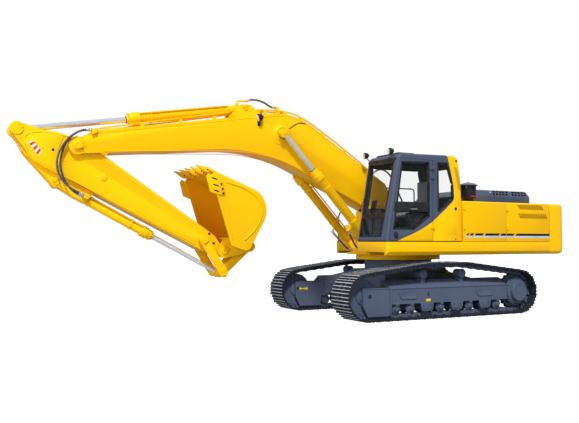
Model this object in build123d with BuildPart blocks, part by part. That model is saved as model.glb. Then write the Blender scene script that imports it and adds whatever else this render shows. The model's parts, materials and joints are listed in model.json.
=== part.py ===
from build123d import *
import math
import os

# A 33-tonne crawler excavator, in millimetres.
# +X is the way the boom points, +Y is the cab side, +Z is up. The origin is on the ground,
# on the axis that the upper part turns about. Profiles are tables of (x, z) in the plane Y = 0,
# and a round in a profile is (x, z, radius).

# ---- driving dimensions -------------------------------------------------------------------

TRACK_GAUGE = 2590        # centre to centre of the two tracks
SHOE_WIDTH = 600
IDLER_X = 1810            # front idler axle
SPROCKET_X = -1950        # rear drive sprocket axle
WRAP_Z = 452              # axle height of both
WRAP_R = 452              # outside of the shoes round the idler and the sprocket
CARRIER_X = (410, -550)   # carrier rollers that hold the top run up
CARRIER_Z = 846
CARRIER_WRAP_R = 230
BELT = 85                 # thickness of chain and shoe together
SHOE_COUNT = 50
SHOE_GAP = 14
SHOE_STEP = 32            # how deep the gap between two shoes is
ROLLER_X = (1085, 745, 395, 30, -335, -700, -1060, -1420)
ROLLER_Z = 212
ROLLER_R = 88

DECK_LOW = 1209           # underside of the upper frame
DECK_HIGH = 1465          # top of its side sills
HALF_WIDTH = 1490         # upper part, from the centre plane to a side
HOUSE_HIGH = 2276         # top of the engine house
HOUSE_FRONT = -490
DOOR_SPLIT = -1650        # between the two side doors
WEIGHT_X = -2902          # front face of the counterweight
TAIL_X = -3410
SHEET = 40                # covers and doors, as thick as the whole panel
SEAM = 4                  # gap round a door

BOOM_FOOT = (326, 2021)   # pin centres
ARM_PIN = (6708, 3068)
BUCKET_PIN = (4060, 1293)
BOOM_CYL_BASE = (930, 1420)
BOOM_CYL_EYE = (2900, 3530)
ARM_CYL_BASE = (3600, 3985)
ARM_CYL_EYE = (7647, 3298)
BUCKET_CYL_BASE = (7015, 2444)
LINK_EYE = (4092, 895)    # where the side links, the bucket link and the rod meet
SIDE_LINK_PIN = (4480, 1514)
BUCKET_LINK_PIN = (3550, 1380)

BOOM_HALF = 260           # half widths, across Y
FORK_HALF = 210
ARM_HALF = 185
EAR_IN, EAR_OUT = 195, 245
SIDE_LINK_IN, SIDE_LINK_OUT = 258, 300
BUCKET_HALF = 700
BOOM_CYL_Y = 365

CAB_RIGHT, CAB_LEFT = 475, 1475
CAB_WALL = 50
DOOR_REAR = 245
DOOR_LOW, DOOR_HIGH = 1500, 3040

HOSE_R = 18

os.makedirs("parts", exist_ok=True)


# ---- small makers -------------------------------------------------------------------------

def across(outline, y_low, y_high, mode=Mode.ADD):
    """A flat plate from a closed outline of (x, z) corners, between two values of Y."""
    with BuildSketch(Plane.XZ.offset(-y_low)) as face:
        with BuildLine():
            Polyline(*outline, close=True)
        make_face()
    extrude(face.sketch, amount=-(y_high - y_low), mode=mode)


def ahead(outline, x_low, x_high, mode=Mode.ADD):
    """A plate from a closed outline of (y, z) corners, between two values of X."""
    with BuildSketch(Plane.YZ.offset(x_low)) as face:
        with BuildLine():
            Polyline(*outline, close=True)
        make_face()
    extrude(face.sketch, amount=x_high - x_low, mode=mode)


def rounds(circles, y_low, y_high, mode=Mode.ADD):
    """A plate that wraps round circles of (x, z, radius), between two values of Y."""
    with BuildSketch(Plane.XZ.offset(-y_low)) as face:
        for x, z, radius in circles:
            with Locations((x, z)):
                Circle(radius)
        if len(circles) > 1:
            make_hull()
    extrude(face.sketch, amount=-(y_high - y_low), mode=mode)


def block(low, high, mode=Mode.ADD):
    """A box between two corners."""
    size = [b - a for a, b in zip(low, high)]
    middle = tuple((a + b) / 2 for a, b in zip(low, high))
    with Locations(middle):
        Box(*size, mode=mode)


def pair(inner, outer):
    """The same span of Y on the left and on the right of the centre plane."""
    return (inner, outer), (-outer, -inner)


def shrink(circles, inset):
    return [(x, z, radius - inset) for x, z, radius in circles]


def aim(start, end):
    """Unit direction from one (x, z) pin to another."""
    length = math.dist(start, end)
    return (end[0] - start[0]) / length, (end[1] - start[1]) / length


def along(start, direction, distance):
    return start[0] + direction[0] * distance, start[1] + direction[1] * distance


def rod(start, end, y, radius, mode=Mode.ADD):
    """A round bar between two (x, z) points at one Y."""
    direction = aim(start, end)
    with BuildSketch(Plane((start[0], y, start[1]), z_dir=(direction[0], 0, direction[1]))) as face:
        Circle(radius)
    extrude(face.sketch, amount=math.dist(start, end), mode=mode)


def tube(points, radii, radius):
    """A round bar along straight runs of (x, y, z) points with an arc at each corner."""
    with BuildLine() as path:
        FilletPolyline(*points, radius=radii)
    with BuildSketch(Plane(points[0], z_dir=path.line % 0)) as face:
        Circle(radius)
    sweep(face.sketch, path=path.line)


def save(part, name):
    part.label = name
    export_step(part, f"parts/{name}.step")


# ---- undercarriage ------------------------------------------------------------------------

TRACK_Y = TRACK_GAUGE / 2
LOOP = [
    (IDLER_X, WRAP_Z, WRAP_R),
    (SPROCKET_X, WRAP_Z, WRAP_R),
    (CARRIER_X[0], CARRIER_Z, CARRIER_WRAP_R),
    (CARRIER_X[1], CARRIER_Z, CARRIER_WRAP_R),
]

for side, sign in (("left", 1), ("right", -1)):
    shoe_span = (sign * TRACK_Y - SHOE_WIDTH / 2, sign * TRACK_Y + SHOE_WIDTH / 2)
    with BuildPart() as track:
        rounds(LOOP, *shoe_span)
        rounds(shrink(LOOP, BELT), *shoe_span, Mode.SUBTRACT)
        with BuildSketch(Plane.XZ, mode=Mode.PRIVATE) as hull:
            for x, z, radius in LOOP:
                with Locations((x, z)):
                    Circle(radius)
            make_hull()
        shoe_line = hull.sketch_local.face().outer_wire()
        with BuildSketch(Plane.XZ.offset(-shoe_span[0])) as gaps:
            for index in range(SHOE_COUNT):
                point = shoe_line.position_at(index / SHOE_COUNT)
                tangent = shoe_line.tangent_at(index / SHOE_COUNT)
                turn = math.degrees(math.atan2(tangent.Y, tangent.X))
                with Locations(Location((point.X, point.Y), turn)):
                    Rectangle(SHOE_GAP, 2 * SHOE_STEP)
        extrude(gaps.sketch, amount=-SHOE_WIDTH, mode=Mode.SUBTRACT)
    save(track.part, f"track_{side}")

FRAME_IN, FRAME_OUT = 1135, 1455   # faces of a track frame, across Y
BEAM_REAR, BEAM_FRONT = -1660, 1240
BEAM_LOW, BEAM_HIGH, BEAM_RIDGE = 300, 590, 735
RIDGE_Y = 1250
YOKE_PLATE = 55
YOKE = [(1200, 600), (1850, 600), (1850, 300), (1740, 92), (1240, 92), (1200, 320)]
with BuildPart() as frames:
    for sign in (1, -1):
        with BuildSketch(Plane.YZ.offset(BEAM_REAR)) as section:
            with BuildLine():
                Polyline(
                    (sign * FRAME_OUT, BEAM_LOW),
                    (sign * FRAME_OUT, BEAM_HIGH),
                    (sign * RIDGE_Y, BEAM_RIDGE),
                    (sign * FRAME_IN, BEAM_RIDGE),
                    (sign * FRAME_IN, BEAM_LOW),
                    close=True,
                )
            make_face()
        extrude(section.sketch, amount=BEAM_FRONT - BEAM_REAR)
    for span in (*pair(FRAME_OUT - YOKE_PLATE, FRAME_OUT), *pair(FRAME_IN, FRAME_IN + YOKE_PLATE)):
        across(YOKE, *span)
    for span in pair(FRAME_IN, FRAME_IN + 30):
        rounds([(SPROCKET_X, WRAP_Z, 240), (BEAM_REAR, 445, 145)], *span)
        rounds([(SPROCKET_X, WRAP_Z, 172)], *span, Mode.SUBTRACT)
    for span in pair(TRACK_Y - 60, TRACK_Y + 60):
        rounds([(SPROCKET_X, WRAP_Z, 365)], *span, Mode.SUBTRACT)
        for x in CARRIER_X:
            across([(x - 45, 640), (x + 45, 640), (x + 45, 755), (x - 45, 755)], *span)
save(frames.part, "track_frames")

with BuildPart() as idlers:
    for centre in (TRACK_Y, -TRACK_Y):
        rounds([(IDLER_X, WRAP_Z, 335)], centre - 80, centre + 80)
        rounds([(IDLER_X, WRAP_Z, 95)], centre - 100, centre + 100)
save(idlers.part, "idlers")

with BuildPart() as sprockets:
    for span in pair(TRACK_Y - 45, TRACK_Y + 45):
        rounds([(SPROCKET_X, WRAP_Z, 335)], *span)
    for span in pair(TRACK_Y - 120, TRACK_Y + 150):
        rounds([(SPROCKET_X, WRAP_Z, 275)], *span)
    for span in pair(TRACK_Y, TRACK_Y + 240):
        rounds([(SPROCKET_X, WRAP_Z, 190)], *span)
    for span in pair(TRACK_Y - 330, TRACK_Y):
        rounds([(SPROCKET_X, WRAP_Z, 170)], *span)
save(sprockets.part, "drive_sprockets")

with BuildPart() as rollers:
    for span in pair(TRACK_Y - 120, TRACK_Y + 120):
        for x in ROLLER_X:
            rounds([(x, ROLLER_Z, ROLLER_R)], *span)
    for span in pair(TRACK_Y - 95, TRACK_Y + 95):
        for x in CARRIER_X:
            rounds([(x, CARRIER_Z, 84)], *span)
save(rollers.part, "track_rollers")

TIE_DOWN_X = 815                   # eyes that a tie-down or tow pin drops through
TIE_DOWN_LOW, TIE_DOWN_HIGH = 535, 585
TIE_DOWN_HOLE_R = 35
with BuildPart() as car_body:
    with Locations((0, 0, 720)):
        Cylinder(700, 560)
    block((-760, -640, 470), (760, 640, 900))
    for sign_x in (1, -1):
        for sign_y in (1, -1):
            with BuildSketch(Plane.XZ.offset(-sign_y * 560)) as root:
                with Locations((sign_x * 480, 680)):
                    Rectangle(520, 400)
            with BuildSketch(Plane.XZ.offset(-sign_y * FRAME_IN)) as foot:
                with Locations((sign_x * 860, 520)):
                    Rectangle(520, 380)
            loft([root.sketch, foot.sketch])
        with BuildSketch(Plane.XY.offset(TIE_DOWN_LOW)) as eye:
            with Locations((sign_x * TIE_DOWN_X, 0)):
                Circle(80)
            with Locations((sign_x * 700, 150), (sign_x * 700, -150)):
                Circle(20)
            make_hull()
            with Locations((sign_x * TIE_DOWN_X, 0)):
                Circle(TIE_DOWN_HOLE_R, mode=Mode.SUBTRACT)
        extrude(eye.sketch, amount=TIE_DOWN_HIGH - TIE_DOWN_LOW)
save(car_body.part, "car_body")

with BuildPart() as bearing:
    with Locations((0, 0, 1050)):
        Cylinder(690, 100)
        Cylinder(520, 100, mode=Mode.SUBTRACT)
save(bearing.part, "swing_bearing")

# ---- upper frame --------------------------------------------------------------------------

RING_R = 880
VALVE_PLATE = (-300, -260)         # plate behind the boom foot that carries the hose fittings
with BuildPart() as main_frame:
    with Locations((0, 0, 1157)):
        Cylinder(RING_R, 104)
    block((-2880, -430, DECK_LOW), (1000, 430, DECK_LOW + 36))
    for span in pair(265, 305):
        across(
            [(-2880, 1245), (1000, 1245), (760, 1560), (560, 2021), (120, 2021), (-300, 1560),
             (-460, 1440), (-2880, 1440)],
            *span,
        )
        rounds([(*BOOM_FOOT, 165), (200, 1700, 120)], *span)
        rounds([(*BOOM_CYL_BASE, 95), (840, 1330, 85)], *span)
    block((VALVE_PLATE[0], -265, DECK_LOW), (VALVE_PLATE[1], 265, 1700))
    block((955, -265, DECK_LOW), (1000, 265, 1350))
    rounds([(*BOOM_FOOT, 60)], -330, 330)
    for span in pair(265, 455):
        rounds([(*BOOM_CYL_BASE, 55)], *span)
save(main_frame.part, "main_frame")

# side of each deck, and where its front end is
with BuildPart() as decks:
    for sign, front in ((1, 1330), (-1, 620)):
        with BuildSketch(Plane.YZ.offset(WEIGHT_X + SEAM)) as section:
            with BuildLine():
                Polyline(
                    (sign * 480, DECK_LOW + 60), (sign * 480, DECK_HIGH),
                    (sign * HALF_WIDTH, DECK_HIGH), (sign * HALF_WIDTH, DECK_LOW + 70),
                    (sign * (HALF_WIDTH - 60), DECK_LOW), (sign * (HALF_WIDTH - 110), DECK_LOW),
                    (sign * (HALF_WIDTH - 110), DECK_HIGH - 40),
                    (sign * 520, DECK_HIGH - 40), (sign * 520, DECK_LOW + 60),
                    close=True,
                )
            make_face()
        extrude(section.sketch, amount=front - WEIGHT_X - SEAM)
        low, high = sorted((sign * 500, sign * (HALF_WIDTH - 90)))
        block((front - 40, low, DECK_LOW + 60), (front, high, DECK_HIGH - 20))
    for front, side in ((1330, HALF_WIDTH), (620, -HALF_WIDTH)):
        corner = decks.edges().filter_by(Axis.Z).sort_by_distance((front, side, DECK_HIGH))[0]
        fillet(corner, 55)
save(decks.part, "side_decks")

LIFT_HOLE_R, LIFT_HOLE_DEPTH = 24, 90
LIFT_HOLE = (-3110, 0)             # in x and y
with BuildPart() as counterweight:
    with BuildSketch(Plane.XY.offset(DECK_LOW)) as plan:
        with BuildLine():
            Polyline(
                (WEIGHT_X, -HALF_WIDTH), (TAIL_X, -HALF_WIDTH), (TAIL_X, HALF_WIDTH),
                (WEIGHT_X, HALF_WIDTH), close=True,
            )
        make_face()
        fillet(plan.vertices().group_by(Axis.X)[0], 230)
    extrude(plan.sketch, amount=HOUSE_HIGH - DECK_LOW)
    ends = counterweight.faces().filter_by(Axis.Z)
    for face, radius in ((ends.sort_by(Axis.Z)[-1], 60), (ends.sort_by(Axis.Z)[0], 90)):
        front_edge = face.edges().sort_by(Axis.X)[-1]
        fillet([edge for edge in face.edges() if not edge.is_same(front_edge)], radius)
    with Locations((*LIFT_HOLE, HOUSE_HIGH - LIFT_HOLE_DEPTH / 2)):
        Cylinder(LIFT_HOLE_R, LIFT_HOLE_DEPTH, mode=Mode.SUBTRACT)
save(counterweight.part, "counterweight")

# ---- engine house -------------------------------------------------------------------------

HOUSE_REAR = WEIGHT_X + 6
ROOF_HALF = HALF_WIDTH - SHEET - SEAM
TANK_REAR, TANK_FRONT, TANK_INNER = -1620, -500, -520
HOOD_REAR, HOOD_TOP_FRONT, HOOD_FRONT = -2925, -1420, -1040
HOOD_HALF, HOOD_TOP_HALF = 915, 800
HOOD_LIP, HOOD_SHOULDER, HOOD_HIGH = HOUSE_HIGH + 6, 2450, 2580
with BuildPart() as house:
    block((HOUSE_REAR, -ROOF_HALF, HOUSE_HIGH - SHEET), (HOUSE_FRONT, ROOF_HALF, HOUSE_HIGH))
    block((HOOD_REAR + 60, -800, HOUSE_HIGH - 60), (HOOD_FRONT - 90, 800, HOUSE_HIGH + 20), Mode.SUBTRACT)
    block((TANK_REAR - 10, -1500, 2200), (HOUSE_FRONT, TANK_INNER + 10, 2300), Mode.SUBTRACT)
    block((HOUSE_FRONT - SHEET, TANK_INNER + 20, DECK_HIGH), (HOUSE_FRONT, ROOF_HALF, HOUSE_HIGH - SHEET))
    block((DOOR_SPLIT - 20, -ROOF_HALF, DECK_HIGH), (DOOR_SPLIT + 20, ROOF_HALF, HOUSE_HIGH - SHEET))
    block((DOOR_SPLIT - 60, -430, DECK_LOW + 236), (DOOR_SPLIT - 20, 430, DECK_HIGH))
save(house.part, "engine_house")

with BuildPart() as engine:
    block((-2750, -560, DECK_HIGH + 5), (-1750, 700, 2190))
save(engine.part, "engine_block")


def hood_shell(inset, low):
    """The hood as a closed form: straight sides, sloping shoulders and a sloping nose."""
    rear, front = HOOD_REAR + inset, HOOD_FRONT - inset
    profile = [
        (rear, low), (front, low), (front, HOOD_LIP + 40), (HOOD_TOP_FRONT, HOOD_HIGH - inset),
        (rear, HOOD_HIGH - inset),
    ]
    across(profile, -HOOD_HALF + inset, HOOD_HALF - inset)


def hood_shoulders(inset):
    rise = HOOD_HIGH - HOOD_SHOULDER
    run = HOOD_HALF - HOOD_TOP_HALF
    with BuildSketch(Plane.YZ.offset(HOOD_REAR - 50)) as cut:
        for sign in (1, -1):
            with BuildLine():
                Polyline(
                    (sign * (HOOD_HALF - inset), HOOD_SHOULDER),
                    (sign * (HOOD_HALF - inset - 2 * run), HOOD_SHOULDER + 2 * rise),
                    (sign * (HOOD_HALF + 400), HOOD_SHOULDER + 2 * rise),
                    (sign * (HOOD_HALF + 400), HOOD_SHOULDER),
                    close=True,
                )
            make_face()
    extrude(cut.sketch, amount=HOOD_FRONT - HOOD_REAR + 100, mode=Mode.SUBTRACT)


HOOD_PLATE = 30
with BuildPart() as hood:
    hood_shell(0, HOOD_LIP)
    hood_shoulders(0)
    top_rear = hood.faces().sort_by(Axis.Z)[-1].edges().sort_by(Axis.X)[0]
    fillet(top_rear, 90)
    with BuildPart(mode=Mode.PRIVATE) as hollow:
        hood_shell(HOOD_PLATE, HOOD_LIP - 40)
        hood_shoulders(HOOD_PLATE)
    add(hollow.part, mode=Mode.SUBTRACT)
save(hood.part, "engine_hood")

for name, rear, front, sign in (
    ("left_front_door", DOOR_SPLIT + SEAM, HOUSE_FRONT - 6, 1),
    ("left_rear_door", HOUSE_REAR + 8, DOOR_SPLIT - SEAM, 1),
    ("right_rear_door", HOUSE_REAR + 8, DOOR_SPLIT - SEAM, -1),
):
    with BuildPart() as door:
        low, high = sorted((sign * (HALF_WIDTH - SHEET), sign * HALF_WIDTH))
        block((rear, low, DECK_HIGH + 6), (front, high, HOUSE_HIGH))
        outside = door.faces().sort_by(Axis.Y)[-1 if sign > 0 else 0]
        fillet(outside.edges().sort_by(Axis.Z)[-1], 34)
    save(door.part, name)

# rear, front, top
with BuildPart() as tanks:
    for rear, front, high in ((TANK_REAR, TANK_FRONT, HOUSE_HIGH), (TANK_FRONT + 15, 100, 2190)):
        with BuildPart(mode=Mode.PRIVATE) as tank:
            block((rear, -HALF_WIDTH, DECK_HIGH + 2), (front, TANK_INNER, high))
            fillet(tank.edges().filter_by(Axis.Z).group_by(Axis.Y)[0], 60)
            fillet(tank.faces().sort_by(Axis.Z)[-1].edges(), 35)
        add(tank.part)
save(tanks.part, "tanks")

with BuildPart() as tool_box:
    across([(110, DECK_HIGH + 2), (612, DECK_HIGH + 2), (612, 1600), (450, 1850), (110, 1850)], -1370, -540)
    front_edges = tool_box.edges().filter_by(Axis.Y).filter_by_position(Axis.Z, 1590, 1860)
    fillet(front_edges.filter_by_position(Axis.X, 400, 620), 50)
save(tool_box.part, "tool_box")

PRECLEANER = (-900, 1200)          # in x and y
with BuildPart() as precleaner:
    # radius, low, high
    for radius, low, high in ((110, 0, 60), (185, 60, 330), (215, 330, 375), (120, 375, 415)):
        with Locations((*PRECLEANER, HOUSE_HIGH + (low + high) / 2)):
            Cylinder(radius, high - low)
save(precleaner.part, "air_precleaner")

with BuildPart() as exhaust:
    with Locations((-2300, -1100, HOUSE_HIGH + 160)):
        Cylinder(65, 320)
        Cylinder(57, 320, mode=Mode.SUBTRACT)
save(exhaust.part, "exhaust_pipe")

RAIL_Y = -1405
RAIL_R = 17
with BuildPart() as handrails:
    # the front rail climbs past the tool box to the oil tank, the rear one stands on the fuel tank
    for points in (
        ((600, RAIL_Y, DECK_HIGH), (600, RAIL_Y, 2040), (330, RAIL_Y, 2600), (-380, RAIL_Y, 2600),
         (-380, RAIL_Y, 2190)),
        ((-580, RAIL_Y, HOUSE_HIGH), (-580, RAIL_Y, 2740), (-1540, RAIL_Y, 2740),
         (-1540, RAIL_Y, HOUSE_HIGH)),
    ):
        tube(points, 80, RAIL_R)
    rod((455, 2350), (-380, 2350), RAIL_Y, RAIL_R - 2)
save(handrails.part, "handrails")

# ---- cab ----------------------------------------------------------------------------------

CAB_PROFILE = [(1335, 1470), (1060, 3080), (990, 3145), (-310, 3170), (-372, 3125), (-440, 2750),
               (-462, 2290), (-475, 1470)]
INSIDE_PROFILE = [(1274, 1520), (1015, 3040), (965, 3095), (-280, 3118), (-320, 3085), (-388, 2750),
                  (-410, 2280), (-425, 1520)]
DOOR_OUTLINE = [(1268, DOOR_LOW), (1005, DOOR_HIGH), (DOOR_REAR, DOOR_HIGH), (DOOR_REAR, DOOR_LOW)]
DOORWAY = [(1275, 1494), (1010, 3046), (239, 3046), (239, 1494)]
DOOR_WINDOW = [(981, 2990), (320, 3010), (320, 1950), (700, 1697), (1190, 1697)]
QUARTER_WINDOW = [(128, 3010), (-122, 3020), (-264, 2600), (-270, 2295), (80, 2042), (128, 2070)]
RIGHT_WINDOW = [(975, 2960), (-200, 2960), (-300, 2500), (-310, 2100), (1120, 2100)]
FRONT_WINDOW = [(535, 1560), (1285, 1560), (1380, 3008), (535, 3008)]            # in y and z
REAR_WINDOW = ((-500, CAB_RIGHT + 120, 2350), (-200, CAB_LEFT - 120, 2950))
CORNER_R = 45
GLASS = 6
WELD = 0.2                         # gap between the plates that the cab is welded from


def window(outline, y_low, y_high):
    across(outline, y_low, y_high, Mode.SUBTRACT)


with BuildPart() as cab:
    across(CAB_PROFILE, CAB_RIGHT, CAB_LEFT)
    pillar_length = math.dist(CAB_PROFILE[0], CAB_PROFILE[1])
    # the front pillars and the roof's edges
    pillar = math.dist(CAB_PROFILE[0], CAB_PROFILE[1])
    fillet(
        cab.edges().filter_by(lambda edge: abs(edge.length - pillar) < 1)
        + cab.edges().filter_by(lambda edge: edge.center().Z > 3090).filter_by(
            lambda edge: abs(edge.center().Y - (CAB_RIGHT + CAB_LEFT) / 2) > 100
        ),
        CORNER_R,
    )
    across(INSIDE_PROFILE, CAB_RIGHT + CAB_WALL, CAB_LEFT - CAB_WALL, Mode.SUBTRACT)
    window(DOORWAY, 1380, 1500)
    ahead(FRONT_WINDOW, 1000, 1400, Mode.SUBTRACT)
    block(*REAR_WINDOW, Mode.SUBTRACT)
    window(QUARTER_WINDOW, 1380, 1500)
    window(RIGHT_WINDOW, 400, 600)
    # floor and roof, then the two sides between them
    for z in (1523, 3037):
        block((-600, 400, z), (1500, 1600, z + WELD), Mode.SUBTRACT)
    for y in (CAB_RIGHT + CAB_WALL + 3, CAB_LEFT - CAB_WALL - 3):
        block((-600, y, 1520), (1500, y + WELD, 3040), Mode.SUBTRACT)
save(cab.part, "cab_shell")

HINGE = (225, 1500)                # in x and y
HINGE_Z = (1760, 2720, 2900)
with BuildPart() as door:
    across(DOOR_OUTLINE, CAB_LEFT - CAB_WALL, CAB_LEFT)
    window(DOOR_WINDOW, 1380, 1500)
    for z in HINGE_Z:
        block((HINGE[0], CAB_LEFT + 3, z - 40), (300, CAB_LEFT + 15, z + 40))
        block((260, CAB_LEFT - 5, z - 40), (300, CAB_LEFT + 15, z + 40))
        with Locations((*HINGE, z)):
            Cylinder(14, 90)
save(door.part, "cab_door")


def pane(outline, y_low):
    """A pane cut 2 mm smaller than its opening."""
    with BuildSketch(Plane.XZ.offset(-y_low)) as face:
        with BuildLine():
            Polyline(*outline, close=True)
        make_face()
        offset(amount=-2, kind=Kind.INTERSECTION, mode=Mode.REPLACE)
    extrude(face.sketch, amount=-GLASS)


with BuildPart() as door_glass:
    pane(DOOR_WINDOW, CAB_LEFT - 28)
save(door_glass.part, "door_glass")

with BuildPart() as glass:
    across([(1297, 1562), (1050, 3006), (1044, 3006), (1291, 1562)], CAB_RIGHT, CAB_LEFT)
    ahead([(537, 1562), (1283, 1562), (1378, 3006), (537, 3006)], 1000, 1400, Mode.INTERSECT)
    pane(QUARTER_WINDOW, CAB_LEFT - 28)
    pane(RIGHT_WINDOW, CAB_RIGHT + 22)
    across([(-436, 2352), (-380, 2948), (-374, 2948), (-430, 2352)], CAB_RIGHT + 121, CAB_LEFT - 121)
save(glass.part, "cab_glass")

with BuildPart() as seat:
    block((150, 780, 1930), (700, 1230, 2040))
    block((30, 800, 2050), (150, 1210, 2700))
    block((230, 830, 1521), (600, 1180, 1920))
save(seat.part, "seat")

with BuildPart() as controls:
    for y_low in (600, 1270):
        block((250, y_low, 1521), (760, y_low + 120, 2120))
save(controls.part, "control_stands")

# ---- boom ---------------------------------------------------------------------------------

BOOM_BEND_R = 3400        # underside
BOOM_CROWN_R = 1400       # top
BOOM_OUTLINE = [(330, 1885), (3347, 3237), (6690, 2933), (6690, 3200), (6370, 3345), (2652, 3990),
                (500, 2668), (170, 2120)]
BOOM_INSIDE = [(620, 2060), (3347, 3268), (5990, 3000), (5990, 3380), (2652, 3950), (620, 2690)]


def boom_face(outline):
    """Side profile of the boom with its two long curves, on the plane Y = 0."""
    with BuildSketch() as face:
        with BuildLine():
            Polyline(*outline, close=True)
        make_face()
        crown = max(outline, key=lambda point: point[1])
        for corner, radius in ((outline[1], BOOM_BEND_R), (crown, BOOM_CROWN_R)):
            near = face.vertices().sort_by_distance(Vector(corner[0], corner[1], 0))[0]
            fillet(near, radius)
    return Plane.XZ * face.sketch


with BuildPart() as boom:
    extrude(boom_face(BOOM_OUTLINE), amount=BOOM_HALF, both=True)
    rounds([(*BOOM_FOOT, 160)], -BOOM_HALF, BOOM_HALF)
    rounds([(*ARM_PIN, 140)], -BOOM_HALF, BOOM_HALF)
    extrude(boom_face(BOOM_INSIDE), amount=BOOM_HALF - 28, both=True, mode=Mode.SUBTRACT)
    rounds([(*ARM_PIN, 600)], -FORK_HALF, FORK_HALF, Mode.SUBTRACT)
    rounds([(*BOOM_FOOT, 62)], -BOOM_HALF, BOOM_HALF, Mode.SUBTRACT)
    for span in pair(BOOM_HALF, BOOM_HALF + 50):
        rounds([(*BOOM_CYL_EYE, 120)], *span)
    for span in pair(BOOM_HALF, BOOM_HALF + 30):
        rounds([(*ARM_PIN, 80)], *span)
    rounds([(*ARM_PIN, 55)], -FORK_HALF, FORK_HALF)
    for span in pair(105, 140):
        across([(3250, 3880), (3500, 4060), (3700, 4060), (3950, 3790)], *span)
    rounds([(*ARM_CYL_BASE, 40)], -140, 140)
    across([(6390, 3300), (6480, 3260), (6480, 3360), (6390, 3380)], 215, 310)
    rounds([(739, 2844, 24), (765, 2795, 30)], 60, 120)
    across([(2840, 3870), (2900, 3870), (2900, 4100), (2840, 4100)], -30, 30)
save(boom.part, "boom")

# ---- cylinders ----------------------------------------------------------------------------

# name, base and eye pins, the Y of each line, barrel length, tube and rod radius, rod's inner
# end, base pin radius, half width of an eye
CYLINDERS = (
    ("boom_cylinder", BOOM_CYL_BASE, BOOM_CYL_EYE, (BOOM_CYL_Y, -BOOM_CYL_Y), 1918, 85, 50, 950, 57, 40),
    ("arm_cylinder", ARM_CYL_BASE, ARM_CYL_EYE, (0,), 2220, 95, 50, 1750, 42, 60),
    ("bucket_cylinder", BUCKET_CYL_BASE, LINK_EYE, (0,), 1842, 77, 43, 1400, 42, 65),
)
GLAND_LENGTH, GLAND_RISE = 190, 12
for name, base, eye, rows, barrel, tube_r, rod_r, inner, pin_r, eye_half in CYLINDERS:
    direction = aim(base, eye)
    with BuildPart() as barrels:
        for y in rows:
            rod(along(base, direction, 150), along(base, direction, barrel), y, tube_r)
            rounds([(*base, 90)], y - eye_half, y + eye_half)
            rod(along(base, direction, 60), along(base, direction, 150), y, 60)
            gland = along(base, direction, barrel - GLAND_LENGTH)
            rod(gland, along(base, direction, barrel), y, tube_r + GLAND_RISE)
            bore = (along(base, direction, 200), along(base, direction, barrel))
            rod(*bore, y, rod_r + 2, Mode.SUBTRACT)
            rounds([(*base, pin_r)], y - eye_half, y + eye_half, Mode.SUBTRACT)
    save(barrels.part, f"{name}_barrel")
    with BuildPart() as rods:
        for y in rows:
            rod(along(base, direction, inner), eye, y, rod_r)
            rounds([(*eye, 88)], y - eye_half, y + eye_half)
            rounds([(*eye, 50)], y - eye_half - 10, y + eye_half + 10)
    save(rods.part, f"{name}_rod")

# ---- arm ----------------------------------------------------------------------------------

ARM_OUTLINE = [(7647, 3412), (7240, 3300), (7042, 3283), (6655, 3185), (6211, 2907), (4230, 1577),
               (4105, 1402), (3950, 1330), (4090, 1180), (4503, 1329), (5444, 1802), (6313, 2241),
               (6727, 2476), (7043, 2632), (7394, 2781), (7533, 2991), (7750, 3270)]
ARM_INSIDE = [(7180, 3230), (6655, 3150), (6211, 2870), (4500, 1722), (4600, 1415), (5444, 1835),
              (6313, 2274), (6727, 2509), (7043, 2665), (7180, 2720)]
TAIL_BRACKET = [(7619, 3062), (7525, 2905), (7431, 2796), (7075, 2410), (6960, 2360), (6759, 2229),
                (6545, 2118), (6400, 2285), (7043, 2640), (7394, 2790)]
with BuildPart() as arm:
    across(ARM_OUTLINE, -ARM_HALF, ARM_HALF)
    rounds([(*ARM_CYL_EYE, 115)], -ARM_HALF, ARM_HALF)
    rounds([(*BUCKET_PIN, 118)], -ARM_HALF, ARM_HALF)
    across(ARM_INSIDE, -ARM_HALF + 28, ARM_HALF - 28, Mode.SUBTRACT)
    rounds([(*ARM_CYL_EYE, 430)], -85, 85, Mode.SUBTRACT)
    for span in pair(90, 125):
        across(TAIL_BRACKET, *span)
        rounds([(*BUCKET_CYL_BASE, 75)], *span)
    rounds([(*BUCKET_CYL_BASE, 40)], -125, 125)
    across([(6603, 2201), (6571, 2275), (6498, 2243), (6530, 2169)], 125, 310)
    for span in pair(ARM_HALF, FORK_HALF - 5):
        rounds([(*ARM_PIN, 150)], *span)
    rounds([(*ARM_PIN, 57)], -FORK_HALF, FORK_HALF, Mode.SUBTRACT)
    rounds([(*BUCKET_PIN, 52)], -ARM_HALF, ARM_HALF, Mode.SUBTRACT)
    rounds([(*SIDE_LINK_PIN, 45)], -SIDE_LINK_OUT, SIDE_LINK_OUT)
save(arm.part, "arm")

# ---- bucket linkage -----------------------------------------------------------------------

with BuildPart() as side_links:
    for inner, outer in pair(SIDE_LINK_IN, SIDE_LINK_OUT):
        rounds([(*SIDE_LINK_PIN, 80), (*LINK_EYE, 78)], inner, outer)
    for span in pair(ARM_HALF + 6, SIDE_LINK_IN):
        rounds([(*SIDE_LINK_PIN, 75)], *span)
        rounds([(*LINK_EYE, 70)], *span)
    for span in pair(ARM_HALF, SIDE_LINK_OUT):
        rounds([(*SIDE_LINK_PIN, 47)], *span, Mode.SUBTRACT)
save(side_links.part, "side_links")

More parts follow.
